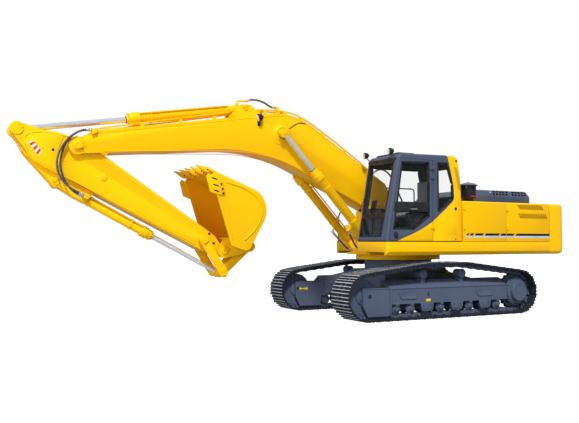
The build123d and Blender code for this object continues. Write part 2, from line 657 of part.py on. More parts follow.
with BuildPart() as bucket_link:
    direction = aim(BUCKET_LINK_PIN, LINK_EYE)
    middle = along(BUCKET_LINK_PIN, direction, 270)
    rounds([(*BUCKET_LINK_PIN, 95)], -ARM_HALF + 5, ARM_HALF - 5)
    rounds([(*BUCKET_LINK_PIN, 80), (*middle, 75)], -ARM_HALF + 5, ARM_HALF - 5)
    for span in pair(90, ARM_HALF - 5):
        rounds([(*BUCKET_LINK_PIN, 80), (*LINK_EYE, 75)], *span)
    rounds([(*BUCKET_LINK_PIN, 47)], -ARM_HALF, ARM_HALF, Mode.SUBTRACT)
save(bucket_link.part, "bucket_link")

# ---- bucket -------------------------------------------------------------------------------

BUCKET_WALL = 26
LIP = (4540, 2716)
TOP_END = (4095, 1545)             # end of the curled top plate, in front of the pin
BUCKET_ROUNDS = [(3838, 2035, 410), (3835, 1450, 100), (*LIP, 30), (*TOP_END, 30)]
SIDE_ROUNDS = [(3838, 2035, 410), (3835, 1430, 115), (4440, 2672, 18), (4478, 2632, 22), (4088, 1425, 30)]
CUTTER = [(4602, 2609), (4532, 2343), (4408, 2297), (4251, 2294), (4299, 2512), (4430, 2590), (4564, 2661)]
LIP_TURN = math.radians(21.26)     # slope of the floor plate at the lip


def from_lip(ahead, up):
    """A point given by its distance ahead of the lip, along the floor plate, and out from it."""
    return (
        LIP[0] + ahead * math.cos(LIP_TURN) - up * math.sin(LIP_TURN),
        LIP[1] + ahead * math.sin(LIP_TURN) + up * math.cos(LIP_TURN),
    )


with BuildPart() as bucket:
    rounds(BUCKET_ROUNDS, -BUCKET_HALF, BUCKET_HALF)
    rounds(shrink(BUCKET_ROUNDS, BUCKET_WALL), -BUCKET_HALF, BUCKET_HALF, Mode.SUBTRACT)
    mouth = [from_lip(0, 60), LIP, TOP_END, (4600, 1400), (5200, 2800)]
    across(mouth, -BUCKET_HALF, BUCKET_HALF, Mode.SUBTRACT)
    for span in pair(BUCKET_HALF - BUCKET_WALL, BUCKET_HALF):
        rounds(SIDE_ROUNDS, *span)
    for span in pair(BUCKET_HALF, BUCKET_HALF + 22):
        across(CUTTER, *span)
    for span in pair(EAR_IN, EAR_OUT):
        rounds(
            [(*BUCKET_PIN, 125), (*BUCKET_LINK_PIN, 100), (3780, 1430, 20), (4080, 1480, 20)], *span
        )
    rounds([(*BUCKET_PIN, 50)], -EAR_OUT, EAR_OUT)
    rounds([(*BUCKET_LINK_PIN, 45)], -EAR_OUT, EAR_OUT)
save(bucket.part, "bucket")

TOOTH_Y = (-610, -305, 0, 305, 610)
# ahead of the lip, and out from the floor plate
TOOTH = [(-150, 31), (-130, 52), (0, 60), (60, 50), (235, 8), (235, 0), (60, -38), (0, -42), (-80, -30),
         (-90, 3), (1, 3), (1, 31)]
with BuildPart() as teeth:
    for y in TOOTH_Y:
        across([from_lip(*point) for point in TOOTH], y - 48, y + 48)
save(teeth.part, "bucket_teeth")

# ---- hoses --------------------------------------------------------------------------------

# Each route is a list of (x, y, z) points, from its first fitting to its last.
HOSES = {
    "bucket_hose_outer": [
        (6480, 288, 3340), (6600, 288, 3340), (6730, 292, 3280), (6855, 294, 3185), (6955, 294, 3045),
        (7025, 294, 2880), (7045, 294, 2710), (6995, 292, 2545), (6885, 288, 2400), (6740, 286, 2305),
        (6588, 286, 2238),
    ],
    "bucket_hose_inner": [
        (6480, 238, 3340), (6595, 238, 3340), (6712, 240, 3297), (6815, 240, 3210), (6900, 240, 3085),
        (6960, 236, 2910), (6978, 236, 2735), (6940, 236, 2560), (6855, 236, 2400), (6740, 236, 2277),
        (6598, 236, 2215),
    ],
    "arm_cylinder_hose": [
        (3540, 0, 4150), (3440, 0, 4190), (3290, 0, 4195), (3130, 0, 4155), (3010, 0, 4078),
        (2900, 0, 4078),
    ],
    "boom_cylinder_hose_left": [
        (1440, 300, 1685), (1370, 285, 1600), (1290, 245, 1500), (1205, 210, 1395), (1115, 200, 1310),
        (1000, 200, 1310),
    ],
    "boom_cylinder_hose_right": [
        (1440, -300, 1685), (1370, -285, 1600), (1290, -245, 1500), (1205, -210, 1395), (1115, -200, 1310),
        (1000, -200, 1310),
    ],
    "boom_foot_hose": [
        (720, 90, 2860), (600, 90, 2960), (450, 90, 2990), (290, 90, 2920), (160, 90, 2760),
        (50, 90, 2540), (-70, 90, 2310), (-190, 90, 2090), (-280, 90, 1890), (-280, 90, 1700),
    ],
}


def corner_radii(points):
    """The largest arcs that the runs of a route allow."""
    radii = []
    for before, here, after in zip(points, points[1:], points[2:]):
        first, second = Vector(*here) - Vector(*before), Vector(*after) - Vector(*here)
        half_turn = math.radians(first.get_angle(second)) / 2
        radii.append(0.45 * min(first.length, second.length) / math.tan(half_turn))
    return radii


for name, points in HOSES.items():
    radii = corner_radii(points)
    print(name, "smallest arc", round(min(radii)), "mm")
    with BuildPart() as hose:
        tube(points, radii, HOSE_R)
    save(hose.part, name)
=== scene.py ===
import json
import math

import bpy
from mathutils import Matrix, Vector

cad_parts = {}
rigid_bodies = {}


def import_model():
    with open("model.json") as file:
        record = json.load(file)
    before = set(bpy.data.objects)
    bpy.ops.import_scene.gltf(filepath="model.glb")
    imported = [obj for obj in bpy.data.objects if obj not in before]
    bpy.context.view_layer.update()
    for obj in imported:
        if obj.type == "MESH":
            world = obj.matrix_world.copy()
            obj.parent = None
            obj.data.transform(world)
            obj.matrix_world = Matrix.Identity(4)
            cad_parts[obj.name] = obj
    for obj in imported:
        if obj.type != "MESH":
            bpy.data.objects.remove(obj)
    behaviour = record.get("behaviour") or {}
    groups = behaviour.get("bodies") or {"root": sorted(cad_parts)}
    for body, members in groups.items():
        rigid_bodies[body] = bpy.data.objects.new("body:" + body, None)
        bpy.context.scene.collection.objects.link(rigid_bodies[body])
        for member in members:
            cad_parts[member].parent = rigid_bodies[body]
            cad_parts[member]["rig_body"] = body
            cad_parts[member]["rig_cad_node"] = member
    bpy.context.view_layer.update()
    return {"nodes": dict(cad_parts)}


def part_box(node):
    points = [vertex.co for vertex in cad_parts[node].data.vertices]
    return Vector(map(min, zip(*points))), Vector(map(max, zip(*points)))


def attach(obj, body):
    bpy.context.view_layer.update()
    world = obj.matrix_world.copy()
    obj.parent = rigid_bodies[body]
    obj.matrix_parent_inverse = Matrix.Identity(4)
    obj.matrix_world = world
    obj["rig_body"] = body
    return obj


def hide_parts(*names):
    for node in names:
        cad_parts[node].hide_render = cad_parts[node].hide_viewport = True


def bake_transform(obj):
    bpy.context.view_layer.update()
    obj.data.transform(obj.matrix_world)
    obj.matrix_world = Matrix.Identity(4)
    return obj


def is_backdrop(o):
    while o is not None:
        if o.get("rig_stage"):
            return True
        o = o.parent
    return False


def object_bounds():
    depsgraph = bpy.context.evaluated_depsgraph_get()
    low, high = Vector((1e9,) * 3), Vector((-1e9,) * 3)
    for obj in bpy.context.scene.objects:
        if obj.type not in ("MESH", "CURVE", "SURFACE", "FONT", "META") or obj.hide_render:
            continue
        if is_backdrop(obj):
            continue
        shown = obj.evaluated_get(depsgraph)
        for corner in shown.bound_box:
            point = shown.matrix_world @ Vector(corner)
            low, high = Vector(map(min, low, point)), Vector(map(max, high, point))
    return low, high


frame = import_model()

# ---- camera -------------------------------------------------------------------------------
# The machine is seen from its left front corner, a little below cab height, with a lens about
# as long as a standing person would use to take in the whole of it.
bpy.ops.object.select_all(action="DESELECT")
bpy.ops.object.camera_add(
    location=(8.950, 12.126, 1.458),
    rotation=(math.radians(92.52), 0, math.radians(152.34)),
)
camera = bpy.context.object
camera.data.lens = 43.46
camera.data.sensor_width = 36
camera.data.clip_end = 300
bpy.context.scene.camera = camera

# ---- hydraulic hoses ----------------------------------------------------------------------
# Black wire-braided rubber hoses that carry oil across the boom and arm joints and into the
# cylinders. Each end is crimped in a plated ferrule with a hexagon nut.
HOSE_ROUTES = {
    "bucket_hose_outer": ("boom", "arm", [
        (6.480, 0.288, 3.340), (6.600, 0.288, 3.340), (6.730, 0.292, 3.280), (6.855, 0.294, 3.185),
        (6.955, 0.294, 3.045), (7.025, 0.294, 2.880), (7.045, 0.294, 2.710), (6.995, 0.292, 2.545),
        (6.885, 0.288, 2.400), (6.740, 0.286, 2.305), (6.588, 0.286, 2.238),
    ]),
    "bucket_hose_inner": ("boom", "arm", [
        (6.480, 0.238, 3.340), (6.595, 0.238, 3.340), (6.712, 0.240, 3.297), (6.815, 0.240, 3.210),
        (6.900, 0.240, 3.085), (6.960, 0.236, 2.910), (6.978, 0.236, 2.735), (6.940, 0.236, 2.560),
        (6.855, 0.236, 2.400), (6.740, 0.236, 2.277), (6.598, 0.236, 2.215),
    ]),
    "arm_cylinder_hose": ("arm_cylinder_barrel", "boom", [
        (3.540, 0, 4.150), (3.440, 0, 4.190), (3.290, 0, 4.195), (3.130, 0, 4.155), (3.010, 0, 4.078),
        (2.900, 0, 4.078),
    ]),
    "boom_cylinder_hose_left": ("boom_cylinder_barrels", "upper", [
        (1.440, 0.300, 1.685), (1.370, 0.285, 1.600), (1.290, 0.245, 1.500), (1.205, 0.210, 1.395),
        (1.115, 0.200, 1.310), (1.000, 0.200, 1.310),
    ]),
    "boom_cylinder_hose_right": ("boom_cylinder_barrels", "upper", [
        (1.440, -0.300, 1.685), (1.370, -0.285, 1.600), (1.290, -0.245, 1.500), (1.205, -0.210, 1.395),
        (1.115, -0.200, 1.310), (1.000, -0.200, 1.310),
    ]),
    "boom_foot_hose": ("boom", "upper", [
        (0.720, 0.090, 2.860), (0.600, 0.090, 2.960), (0.450, 0.090, 2.990), (0.290, 0.090, 2.920),
        (0.160, 0.090, 2.760), (0.050, 0.090, 2.540), (-0.070, 0.090, 2.310), (-0.190, 0.090, 2.090),
        (-0.280, 0.090, 1.890), (-0.280, 0.090, 1.700),
    ]),
}
HOSE_RADIUS = 0.018
SMOOTH_BELOW = math.radians(35)


def place_noise(material, scale, detail):
    """Noise that stays with the piece, because it reads the piece's own coordinates."""
    tree = material.node_tree
    where = tree.nodes.new("ShaderNodeTexCoord")
    noise = tree.nodes.new("ShaderNodeTexNoise")
    noise.inputs["Scale"].default_value = scale
    noise.inputs["Detail"].default_value = detail
    tree.links.new(where.outputs["Object"], noise.inputs["Vector"])
    return noise.outputs["Fac"]


def mottled(
    name, colour, roughness, metal=0.0, specular=0.5, marks=3, detail=3.0, tones=None, gloss=None, grain=None
):
    """A finish whose tone and gloss wander over a piece, with a fine grain where it has one."""
    material = bpy.data.materials.new(name)
    material.use_nodes = True
    tree = material.node_tree
    shader = tree.nodes["Principled BSDF"]
    shader.inputs["Base Color"].default_value = (*colour, 1)
    shader.inputs["Roughness"].default_value = roughness
    shader.inputs["Metallic"].default_value = metal
    shader.inputs["Specular IOR Level"].default_value = specular
    source = place_noise(material, marks, detail) if tones or gloss else None
    if tones:
        ramp = tree.nodes.new("ShaderNodeValToRGB")
        for end, place, tone in zip(ramp.color_ramp.elements, (0.3, 0.7), tones):
            end.position = place
            end.color = (*tone, 1)
        tree.links.new(source, ramp.inputs["Fac"])
        tree.links.new(ramp.outputs["Color"], shader.inputs["Base Color"])
    if gloss:
        span = tree.nodes.new("ShaderNodeMapRange")
        for socket, value in zip(("From Min", "From Max", "To Min", "To Max"), (0.3, 0.7, *gloss)):
            span.inputs[socket].default_value = value
        tree.links.new(source, span.inputs["Value"])
        tree.links.new(span.outputs["Result"], shader.inputs["Roughness"])
    if grain:
        bump = tree.nodes.new("ShaderNodeBump")
        bump.inputs["Distance"].default_value = 0.001
        bump.inputs["Strength"].default_value = grain[1]
        tree.links.new(place_noise(material, grain[0], 2.0), bump.inputs["Height"])
        tree.links.new(bump.outputs["Normal"], shader.inputs["Normal"])
    return material


hose_rubber = mottled(
    "hose_rubber", (0.05, 0.055, 0.062), 0.38, marks=35,
    tones=((0.035, 0.038, 0.044), (0.085, 0.09, 0.10)), gloss=(0.3, 0.5), grain=(420, 0.35),
)
plated_steel = mottled(
    "plated_steel", (0.72, 0.73, 0.74), 0.28, 1.0, marks=60,
    tones=((0.55, 0.57, 0.6), (0.82, 0.82, 0.8)), gloss=(0.2, 0.42), grain=(300, 0.15),
)


def take_up(piece):
    """Selects one piece alone, so that an operator works on nothing else."""
    bpy.ops.object.select_all(action="DESELECT")
    piece.select_set(True)
    bpy.context.view_layer.objects.active = piece


def bent_line(name, points, resolution):
    """A smooth line along a row of points, which a tube can follow."""
    line = bpy.data.curves.new(name, "CURVE")
    line.dimensions = "3D"
    spline = line.splines.new("NURBS")
    spline.points.add(len(points) - 1)
    for control, point in zip(spline.points, points):
        control.co = (*point, 1)
    spline.order_u = min(3, len(points))
    spline.use_endpoint_u = True
    line.resolution_u = resolution
    line.use_fill_caps = True
    piece = bpy.data.objects.new(name, line)
    bpy.context.scene.collection.objects.link(piece)
    return piece


def bar(name, start, end, radius, sides=24, bevel=0.0):
    """A round or many-sided bar between two points, with its ends softened."""
    start, end = Vector(start), Vector(end)
    run = end - start
    bpy.ops.object.select_all(action="DESELECT")
    bpy.ops.mesh.primitive_cylinder_add(
        vertices=sides, radius=radius, depth=run.length, location=(start + end) / 2,
        rotation=run.to_track_quat("Z", "Y").to_euler(),
    )
    piece = bpy.context.object
    piece.name = name
    bpy.ops.object.transform_apply(location=True, rotation=True, scale=True)
    if bevel:
        round_edges(piece, bevel)
    elif sides > 8:
        bpy.ops.object.shade_smooth_by_angle(angle=SMOOTH_BELOW)
    return piece


def round_edges(piece, width, segments=2, angle=30):
    """Takes the sharp corners off a piece, as grinding and paint do."""
    take_up(piece)
    bevel = piece.modifiers.new("corners", "BEVEL")
    bevel.width = width
    bevel.segments = segments
    bevel.limit_method = "ANGLE"
    bevel.angle_limit = math.radians(angle)
    bpy.ops.object.modifier_apply(modifier="corners")
    bpy.ops.object.shade_smooth_by_angle(angle=SMOOTH_BELOW)


def join(name, pieces):
    """Makes one piece of several that are fixed to each other."""
    bpy.ops.object.select_all(action="DESELECT")
    for piece in pieces:
        piece.select_set(True)
    bpy.context.view_layer.objects.active = pieces[0]
    if len(pieces) > 1:
        bpy.ops.object.join()
    whole = bpy.context.view_layer.objects.active
    whole.name = name
    return whole


def finish(piece, material, body):
    """Gives a piece its finish and the body that it moves with."""
    if material:
        piece.data.materials.clear()
        piece.data.materials.append(material)
    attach(piece, body)
    return piece


def crimped_end(name, end, inward):
    """A hose's end: a crimped ferrule over the rubber and a hexagon nut on the port."""
    end, inward = Vector(end), (Vector(inward) - Vector(end)).normalized()
    return join(name, [
        bar(name, end + inward * first, end + inward * last, HOSE_RADIUS + wall, sides, corner)
        # the ferrule, the ring rolled into it, and the nut
        for first, last, wall, sides, corner in (
            (0.03, 0.095, 0.006, 20, 0.003), (0.055, 0.062, 0.0075, 20, 0.002), (0.002, 0.032, 0.009, 6, 0.003),
        )
    ])


for hose_name, (first_body, last_body, points) in HOSE_ROUTES.items():
    hose = bent_line(hose_name + "_rubber", points, 16)
    middle = bpy.data.meshes.new_from_object(hose)
    hose.data.bevel_depth = HOSE_RADIUS
    hose.data.bevel_resolution = 6
    take_up(hose)
    bpy.ops.object.convert(target="MESH")
    bpy.ops.object.shade_smooth_by_angle(angle=SMOOTH_BELOW)
    hose = bpy.context.object
    hose.data.materials.clear()
    hose.data.materials.append(hose_rubber)
    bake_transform(hose)
    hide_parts(hose_name)
    ends = [
        finish(crimped_end(hose_name + end, last, next_to_last), plated_steel, body)
        for end, last, next_to_last, body in (
            ("_first_end", points[0], points[1], first_body), ("_last_end", points[-1], points[-2], last_body),
        )
    ]

# ---- floor and light ----------------------------------------------------------------------
# A plain pale floor that runs to the horizon, the sun high on the left and a little ahead, a
# broad lamp low in front of the machine and a weak one behind it, and an even white surround.
bpy.ops.object.select_all(action="DESELECT")
bpy.ops.mesh.primitive_plane_add(size=240, location=(0, 0, -0.001))
floor = bpy.context.object
floor.name = "floor"
floor_paint = mottled("floor_paint", (0.34, 0.34, 0.34), 0.9, specular=0.0)
tree = floor_paint.node_tree
shader = tree.nodes["Principled BSDF"]
shader.inputs["Emission Color"].default_value = (1, 1, 1, 1)
seen = tree.nodes.new("ShaderNodeLightPath")
tree.links.new(seen.outputs["Is Camera Ray"], shader.inputs["Emission Strength"])
floor.data.materials.append(floor_paint)
floor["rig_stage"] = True

world = bpy.data.worlds.new("surround")
bpy.context.scene.world = world
world.use_nodes = True
tree = world.node_tree
around = tree.nodes["Background"]
around.inputs["Color"].default_value = (0.93, 0.96, 1.0, 1)
around.inputs["Strength"].default_value = 0.46
backdrop = tree.nodes.new("ShaderNodeBackground")
backdrop.inputs["Color"].default_value = (1, 1, 1, 1)
seen = tree.nodes.new("ShaderNodeLightPath")
choice = tree.nodes.new("ShaderNodeMixShader")
tree.links.new(seen.outputs["Is Camera Ray"], choice.inputs[0])
tree.links.new(around.outputs["Background"], choice.inputs[1])
tree.links.new(backdrop.outputs["Background"], choice.inputs[2])
tree.links.new(choice.outputs["Shader"], tree.nodes["World Output"].inputs["Surface"])

for kind, light_name, place, aim_at, size, power in (
    ("SUN", "key_light", (3.5, 8.0, 11.0), (0, 0, 0), math.radians(9), 3.15),
    ("AREA", "front_light", (16.0, 7.0, 4.5), (3.0, 0, 1.8), 8.0, 850),
    ("AREA", "rear_light", (-12.0, -9.0, 10.0), (0, 0, 1.5), 8.0, 300),
):
    bpy.ops.object.light_add(type=kind, location=place)
    lamp = bpy.context.object
    lamp.name = light_name
    lamp.rotation_euler = (Vector(aim_at) - Vector(place)).to_track_quat("-Z", "Y").to_euler()
    setattr(lamp.data, "angle" if kind == "SUN" else "size", size)
    lamp.data.energy = power
bpy.context.scene.view_settings.view_transform = "Standard"
bpy.context.scene.view_settings.look = "None"

# ---- paint --------------------------------------------------------------------------------
# Two-pack enamel sprayed on primed steel: deep yellow on the working gear and the body, and
# dark blue-grey below and on the cab. A film of dust makes some places duller than others.


def enamel(name, colour, roughness=0.32, dust=(0.30, 0.24, 0.12), dusty=0.02):
    """Sprayed enamel: its colour goes from a little deeper to a little dusty, under a thin coat."""
    deeper = tuple(c * 0.96 for c in colour)
    lighter = tuple(c + (d - c) * dusty for c, d in zip(colour, dust))
    material = mottled(
        name, colour, roughness, specular=0.10, marks=1.6, detail=6.0, tones=(deeper, lighter),
        gloss=(roughness - 0.06, roughness + 0.12), grain=(160, 0.06),
    )
    shader = material.node_tree.nodes["Principled BSDF"]
    shader.inputs["Coat Weight"].default_value = 0.05
    shader.inputs["Coat Roughness"].default_value = 0.12
    return material


YELLOW = (0.97, 0.535, 0.001)
GREY = (0.076, 0.101, 0.160)
yellow_paint = enamel("yellow_paint", YELLOW)
grey_paint = enamel("grey_paint", GREY, 0.42, dust=(0.22, 0.22, 0.22), dusty=0.08)
black_parts = mottled(
    "black_parts", (0.012, 0.012, 0.014), 0.45, specular=0.20, marks=8,
    tones=((0.009, 0.009, 0.011), (0.03, 0.03, 0.033)), grain=(300, 0.2),
)


def paint_nodes(material, *names):
    """Paints parts that keep the shape they were drawn with."""
    for name in names:
        part = frame["nodes"][name]
        part.data.materials.clear()
        part.data.materials.append(material)


paint_nodes(
    yellow_paint, "main_frame", "side_decks", "counterweight", "engine_house", "left_front_door",
    "left_rear_door", "right_rear_door", "tanks", "tool_box", "boom", "boom_cylinder_barrel",
    "arm_cylinder_barrel", "bucket_cylinder_barrel", "arm", "side_links", "bucket_link", "bucket",
    "bucket_teeth",
)
paint_nodes(
    grey_paint, "car_body", "track_frames", "idlers", "drive_sprockets", "track_rollers",
    "swing_bearing", "handrails", "exhaust_pipe", "track_left", "track_right",
)
paint_nodes(black_parts, "engine_block", "air_precleaner", "control_stands", "seat")

# ---- tracks -------------------------------------------------------------------------------
# Fifty steel shoes on each side, rolled with three grousers and bolted to the two strands of a forged chain. The
# chain's pins run across it. The crests of the grousers are a light bluish steel: partly wear, partly a painted
# highlight.
# x, z and radius of the idler, the two carrier rollers and the drive sprocket, to the shoes' tips
IDLER, *CARRIERS, SPROCKET = TRACK_WHEELS = [
    (1.810, 0.452, 0.452), (0.410, 0.846, 0.230), (-0.550, 0.846, 0.230), (-1.950, 0.452, 0.452),
]
TRACK_Y = 1.295
SIDES = (("left", 1), ("right", -1))
SHOES, SHOE_WIDTH = 50, 0.596
# faces this close to the grousers' tips are painted lighter, for wear and as a painted highlight
WORN_AND_HIGHLIGHT_ABOVE = -0.0125
# a flat shoe on a round wheel: its middle runs this much inside the circle of its tips
CHORD_SAG = 0.0065
# along the chain, and out from the tips of the grousers
SHOE_SECTION = [
    (-0.099, -0.046), (0.090, -0.046), (0.102, -0.038), (0.101, -0.028), (0.082, -0.031), (0.074, -0.006),
    (0.062, -0.006), (0.053, -0.031), (0.014, -0.031), (0.007, -0.004), (-0.006, -0.004), (-0.013, -0.031),
    (-0.056, -0.031), (-0.064, -0.001), (-0.080, -0.001), (-0.089, -0.028), (-0.102, -0.036),
]
LINK_SECTION = [
    (-0.128, -0.078), (-0.108, -0.052), (-0.020, -0.046), (0.090, -0.046), (0.124, -0.060), (0.134, -0.085),
    (0.120, -0.110), (0.085, -0.119), (0.030, -0.108), (-0.030, -0.108), (-0.085, -0.117), (-0.118, -0.106),
]


def sheet(name, outline, y):
    """A flat face with (x, z) corners, opened for editing with all of it chosen."""
    bpy.ops.object.select_all(action="DESELECT")
    bpy.ops.mesh.primitive_circle_add(vertices=len(outline), radius=1, fill_type="NGON")
    piece = bpy.context.object
    piece.name = name
    for vertex, (x, z) in zip(piece.data.vertices, outline):
        vertex.co = (x, y, z)
    bpy.ops.object.mode_set(mode="EDIT")
    bpy.ops.mesh.select_all(action="SELECT")
    return piece


def thicken(depth):
    """Draws what is chosen out along y, and closes the editing."""
    bpy.ops.mesh.extrude_region_move(TRANSFORM_OT_translate={"value": (0, depth, 0)})
    bpy.ops.mesh.select_all(action="SELECT")
    bpy.ops.mesh.normals_make_consistent(inside=False)
    bpy.ops.object.mode_set(mode="OBJECT")


def plate(name, outline, low, high, corner=0.0):
    """A plate cut to (x, z) corners, thick between two values of y, with softened edges."""
    piece = sheet(name, outline, low)
    thicken(high - low)
    if corner:
        round_edges(piece, corner)
    return piece


def oblong(x_1, z_1, x_2, z_2):
    """The four corners of an upright rectangle, from two that face each other."""
    return [(x_1, z_1), (x_2, z_1), (x_2, z_2), (x_1, z_2)]


def on_side(name, outline, face, sunk, proud, corner=0.0):
    """A plate let a little into a side face, left or right, and standing proud of it."""
    outwards = math.copysign(1, face)
    return plate(name, outline, *sorted((face - outwards * sunk, face + outwards * proud)), corner)


def belt_places(wheels, count):
    """Even steps round a belt: each is (x, z, outward angle), going counter-clockwise."""
    tangents = []
    for first, second in zip(wheels, wheels[1:] + wheels[:1]):
        run = math.hypot(second[0] - first[0], second[1] - first[1])
        heading = math.atan2(second[1] - first[1], second[0] - first[0])
        out = (heading - math.acos((first[2] - second[2]) / run)) % (2 * math.pi)
        ends = [(w[0] + w[2] * math.cos(out), w[1] + w[2] * math.sin(out)) for w in (first, second)]
        tangents.append((out, *ends))
    stretches = []
    for index, wheel in enumerate(wheels):
        into, leaving = tangents[index - 1][0], tangents[index][0]
        turn = (leaving - into) % (2 * math.pi)
        stretches.append((turn * wheel[2], "arc", wheel, into))
        start, end = tangents[index][1], tangents[index][2]
        stretches.append((math.dist(start, end), "run", (start, end), leaving))
    total = sum(stretch[0] for stretch in stretches)
    places = []
    for index in range(count):
        left = total * (index + 0.5) / count
        for length, kind, shape, out in stretches:
            if left <= length:
                break
            left -= length
        if kind == "arc":
            angle, reach = out + left / shape[2], shape[2] - CHORD_SAG
            places.append((shape[0] + reach * math.cos(angle), shape[1] + reach * math.sin(angle), angle))
        else:
            (x1, z1), (x2, z2) = shape
            places.append((x1 + (x2 - x1) * left / length, z1 + (z2 - z1) * left / length, out))
    return places


def copies(name, piece, matrices):
    """Copies of a piece at several places, each with its own mesh, made one piece."""
    made = []
    for matrix in matrices:
        other = piece.copy()
        other.data = piece.data.copy()
        other.data.transform(matrix)
        bpy.context.scene.collection.objects.link(other)
        made.append(other)
    bpy.data.objects.remove(piece)
    return join(name, made)


track_steel = enamel("track_steel", (0.013, 0.017, 0.027), 0.40, dust=(0.12, 0.12, 0.13), dusty=0.10)
# light bluish steel for the crests: worn metal with a painted highlight
worn_steel = mottled(
    "worn_steel", (0.62, 0.68, 0.78), 0.34, 0.35, marks=22, detail=6,
    tones=((0.34, 0.39, 0.49), (0.84, 0.89, 0.98)), gloss=(0.28, 0.55), grain=(90, 0.4),
)

belt = belt_places(TRACK_WHEELS, SHOES)
for side, sign in SIDES:
    turns = [
        Matrix.Translation((x, sign * TRACK_Y, z)) @ Matrix.Rotation(math.pi / 2 - out, 4, "Y")
        for x, z, out in belt
    ]
    shoe = plate("shoe", SHOE_SECTION, -SHOE_WIDTH / 2, SHOE_WIDTH / 2, 0.002)
    shoe.data.materials.append(track_steel)
    shoe.data.materials.append(worn_steel)
    for face in shoe.data.polygons:
        if face.center.z > WORN_AND_HIGHLIGHT_ABOVE and abs(face.normal.z) > 0.3:
            face.material_index = 1
    shoes = copies("track_shoes_" + side, shoe, turns)
    bolt = bar("shoe_bolt", (0, 0, -0.034), (0, 0, -0.016), 0.017, 6)
    spots = [Matrix.Translation((x, y, 0)) for x in (-0.035, 0.034) for y in (-0.075, 0.075)]
    bolts = copies("shoe_bolts_" + side, bolt, [turn @ spot for turn in turns for spot in spots])
    strand = plate("link", LINK_SECTION, 0.052, 0.096)
    strands = copies("link_pair", strand, [Matrix.Identity(4), Matrix.Translation((0, -0.148, 0))])
    pin = bar("link_pin", (0.105, -0.125, -0.082), (0.105, 0.125, -0.082), 0.021, 12)
    boss = bar("link_boss", (0.105, -0.108, -0.082), (0.105, 0.108, -0.082), 0.034, 14)
    chain = copies("track_chain_" + side, join("link_unit", [strands, pin, boss]), turns)
    finish(shoes, None, "undercarriage")
    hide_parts("track_" + side)
    finish(bolts, grey_paint, "undercarriage")
    finish(chain, grey_paint, "undercarriage")

# ---- track frames -------------------------------------------------------------------------
# Welded box beams that the rollers are bolted under. Each has two formed steps and a slot in
# its outer side, a lip along its lower edge, guards over the rollers, and a yoke at the front.
frame_yellow = enamel("label_yellow", (0.95, 0.56, 0.01), 0.45)
FRAME_OUTER, FRAME_INNER, PLATE = 1.455, 1.135, 0.016
for side, sign in SIDES:
    outer, inner = sign * FRAME_OUTER, sign * FRAME_INNER
    trim = []
    for x_front, x_rear in ((1.055, 0.600), (-0.835, -1.290)):
        face = [
            (x_front, 0.545), (x_rear, 0.545), (x_rear + 0.03, 0.385), (x_front - 0.09, 0.385),
            (x_front - 0.03, 0.43),
        ]
        step = on_side("step", face, outer, 0, PLATE, 0.010)
        bpy.ops.object.mode_set(mode="EDIT")
        bpy.ops.mesh.select_all(action="DESELECT")
        bpy.ops.object.mode_set(mode="OBJECT")
        for polygon in step.data.polygons:
            polygon.select = polygon.normal.y * sign > 0.9 and polygon.area > 0.02
        bpy.ops.object.mode_set(mode="EDIT")
        bpy.ops.mesh.inset(thickness=0.022, depth=0)
        bpy.ops.transform.translate(value=(0, -sign * 0.012, 0))
        bpy.ops.object.mode_set(mode="OBJECT")
        trim.append(step)
    yoke_cover = [(1.25, 0.585), (1.845, 0.600), (1.845, 0.612), (1.25, 0.612)]
    trim += [
        on_side("lower_lip", oblong(1.20, 0.300, -1.66, 0.325), outer, 0, PLATE, 0.004),
        on_side("upper_lip", oblong(1.24, 0.582, -1.66, 0.604), outer, 0.06, 0.010, 0.004),
        on_side("yoke_cover", yoke_cover, outer, 0.30, 0.008, 0.004),
        on_side("yoke_rib", oblong(1.222, 0.60, 1.250, 0.10), outer, 0, PLATE, 0.004),
    ]
    finish(join("frame_steps_" + side, trim), grey_paint, "undercarriage")
    # the slot and the hole are flat black plates: painted shade in the openings
    marks = [
        on_side("frame_slot", oblong(0.375, 0.505, 0.345, 0.430), outer, 0.002, 0.002),
        bar("frame_hole", (1.700, outer - sign * 0.004, 0.462), (1.700, outer + sign * 0.002, 0.462), 0.036),
    ]
    finish(join("frame_openings_" + side, marks), black_parts, "undercarriage")
    tag = on_side("frame_tag_" + side, oblong(0.410, 0.377, 0.310, 0.330), outer, 0.001, 0.018, 0.002)
    finish(tag, frame_yellow, "undercarriage")
    bow = [
        (1.755, 0.485), (1.700, 0.470), (1.655, 0.470), (1.560, 0.490), (1.560, 0.430), (1.655, 0.450),
        (1.700, 0.450), (1.755, 0.437),
    ]
    bow_tag = on_side("yoke_tag_" + side, bow, inner, 0.006, 0, 0.001)
    finish(bow_tag, frame_yellow, "undercarriage")
    # the yoke's hole is a black disc: painted shade
    hole = bar("yoke_hole_" + side, (1.80, inner - sign * 0.003, 0.47), (1.80, inner + sign * 0.01, 0.47), 0.026)
    finish(hole, black_parts, "undercarriage")

# ---- rollers, idlers and drives -----------------------------------------------------------
# Forged rollers with a flange each side and a bolted end cap, a spoked front idler, and at the
# rear the toothed ring and the planetary drive with its ring of bolts.
ROLLER_X = (1.085, 0.745, 0.395, 0.030, -0.335, -0.700, -1.060, -1.420)


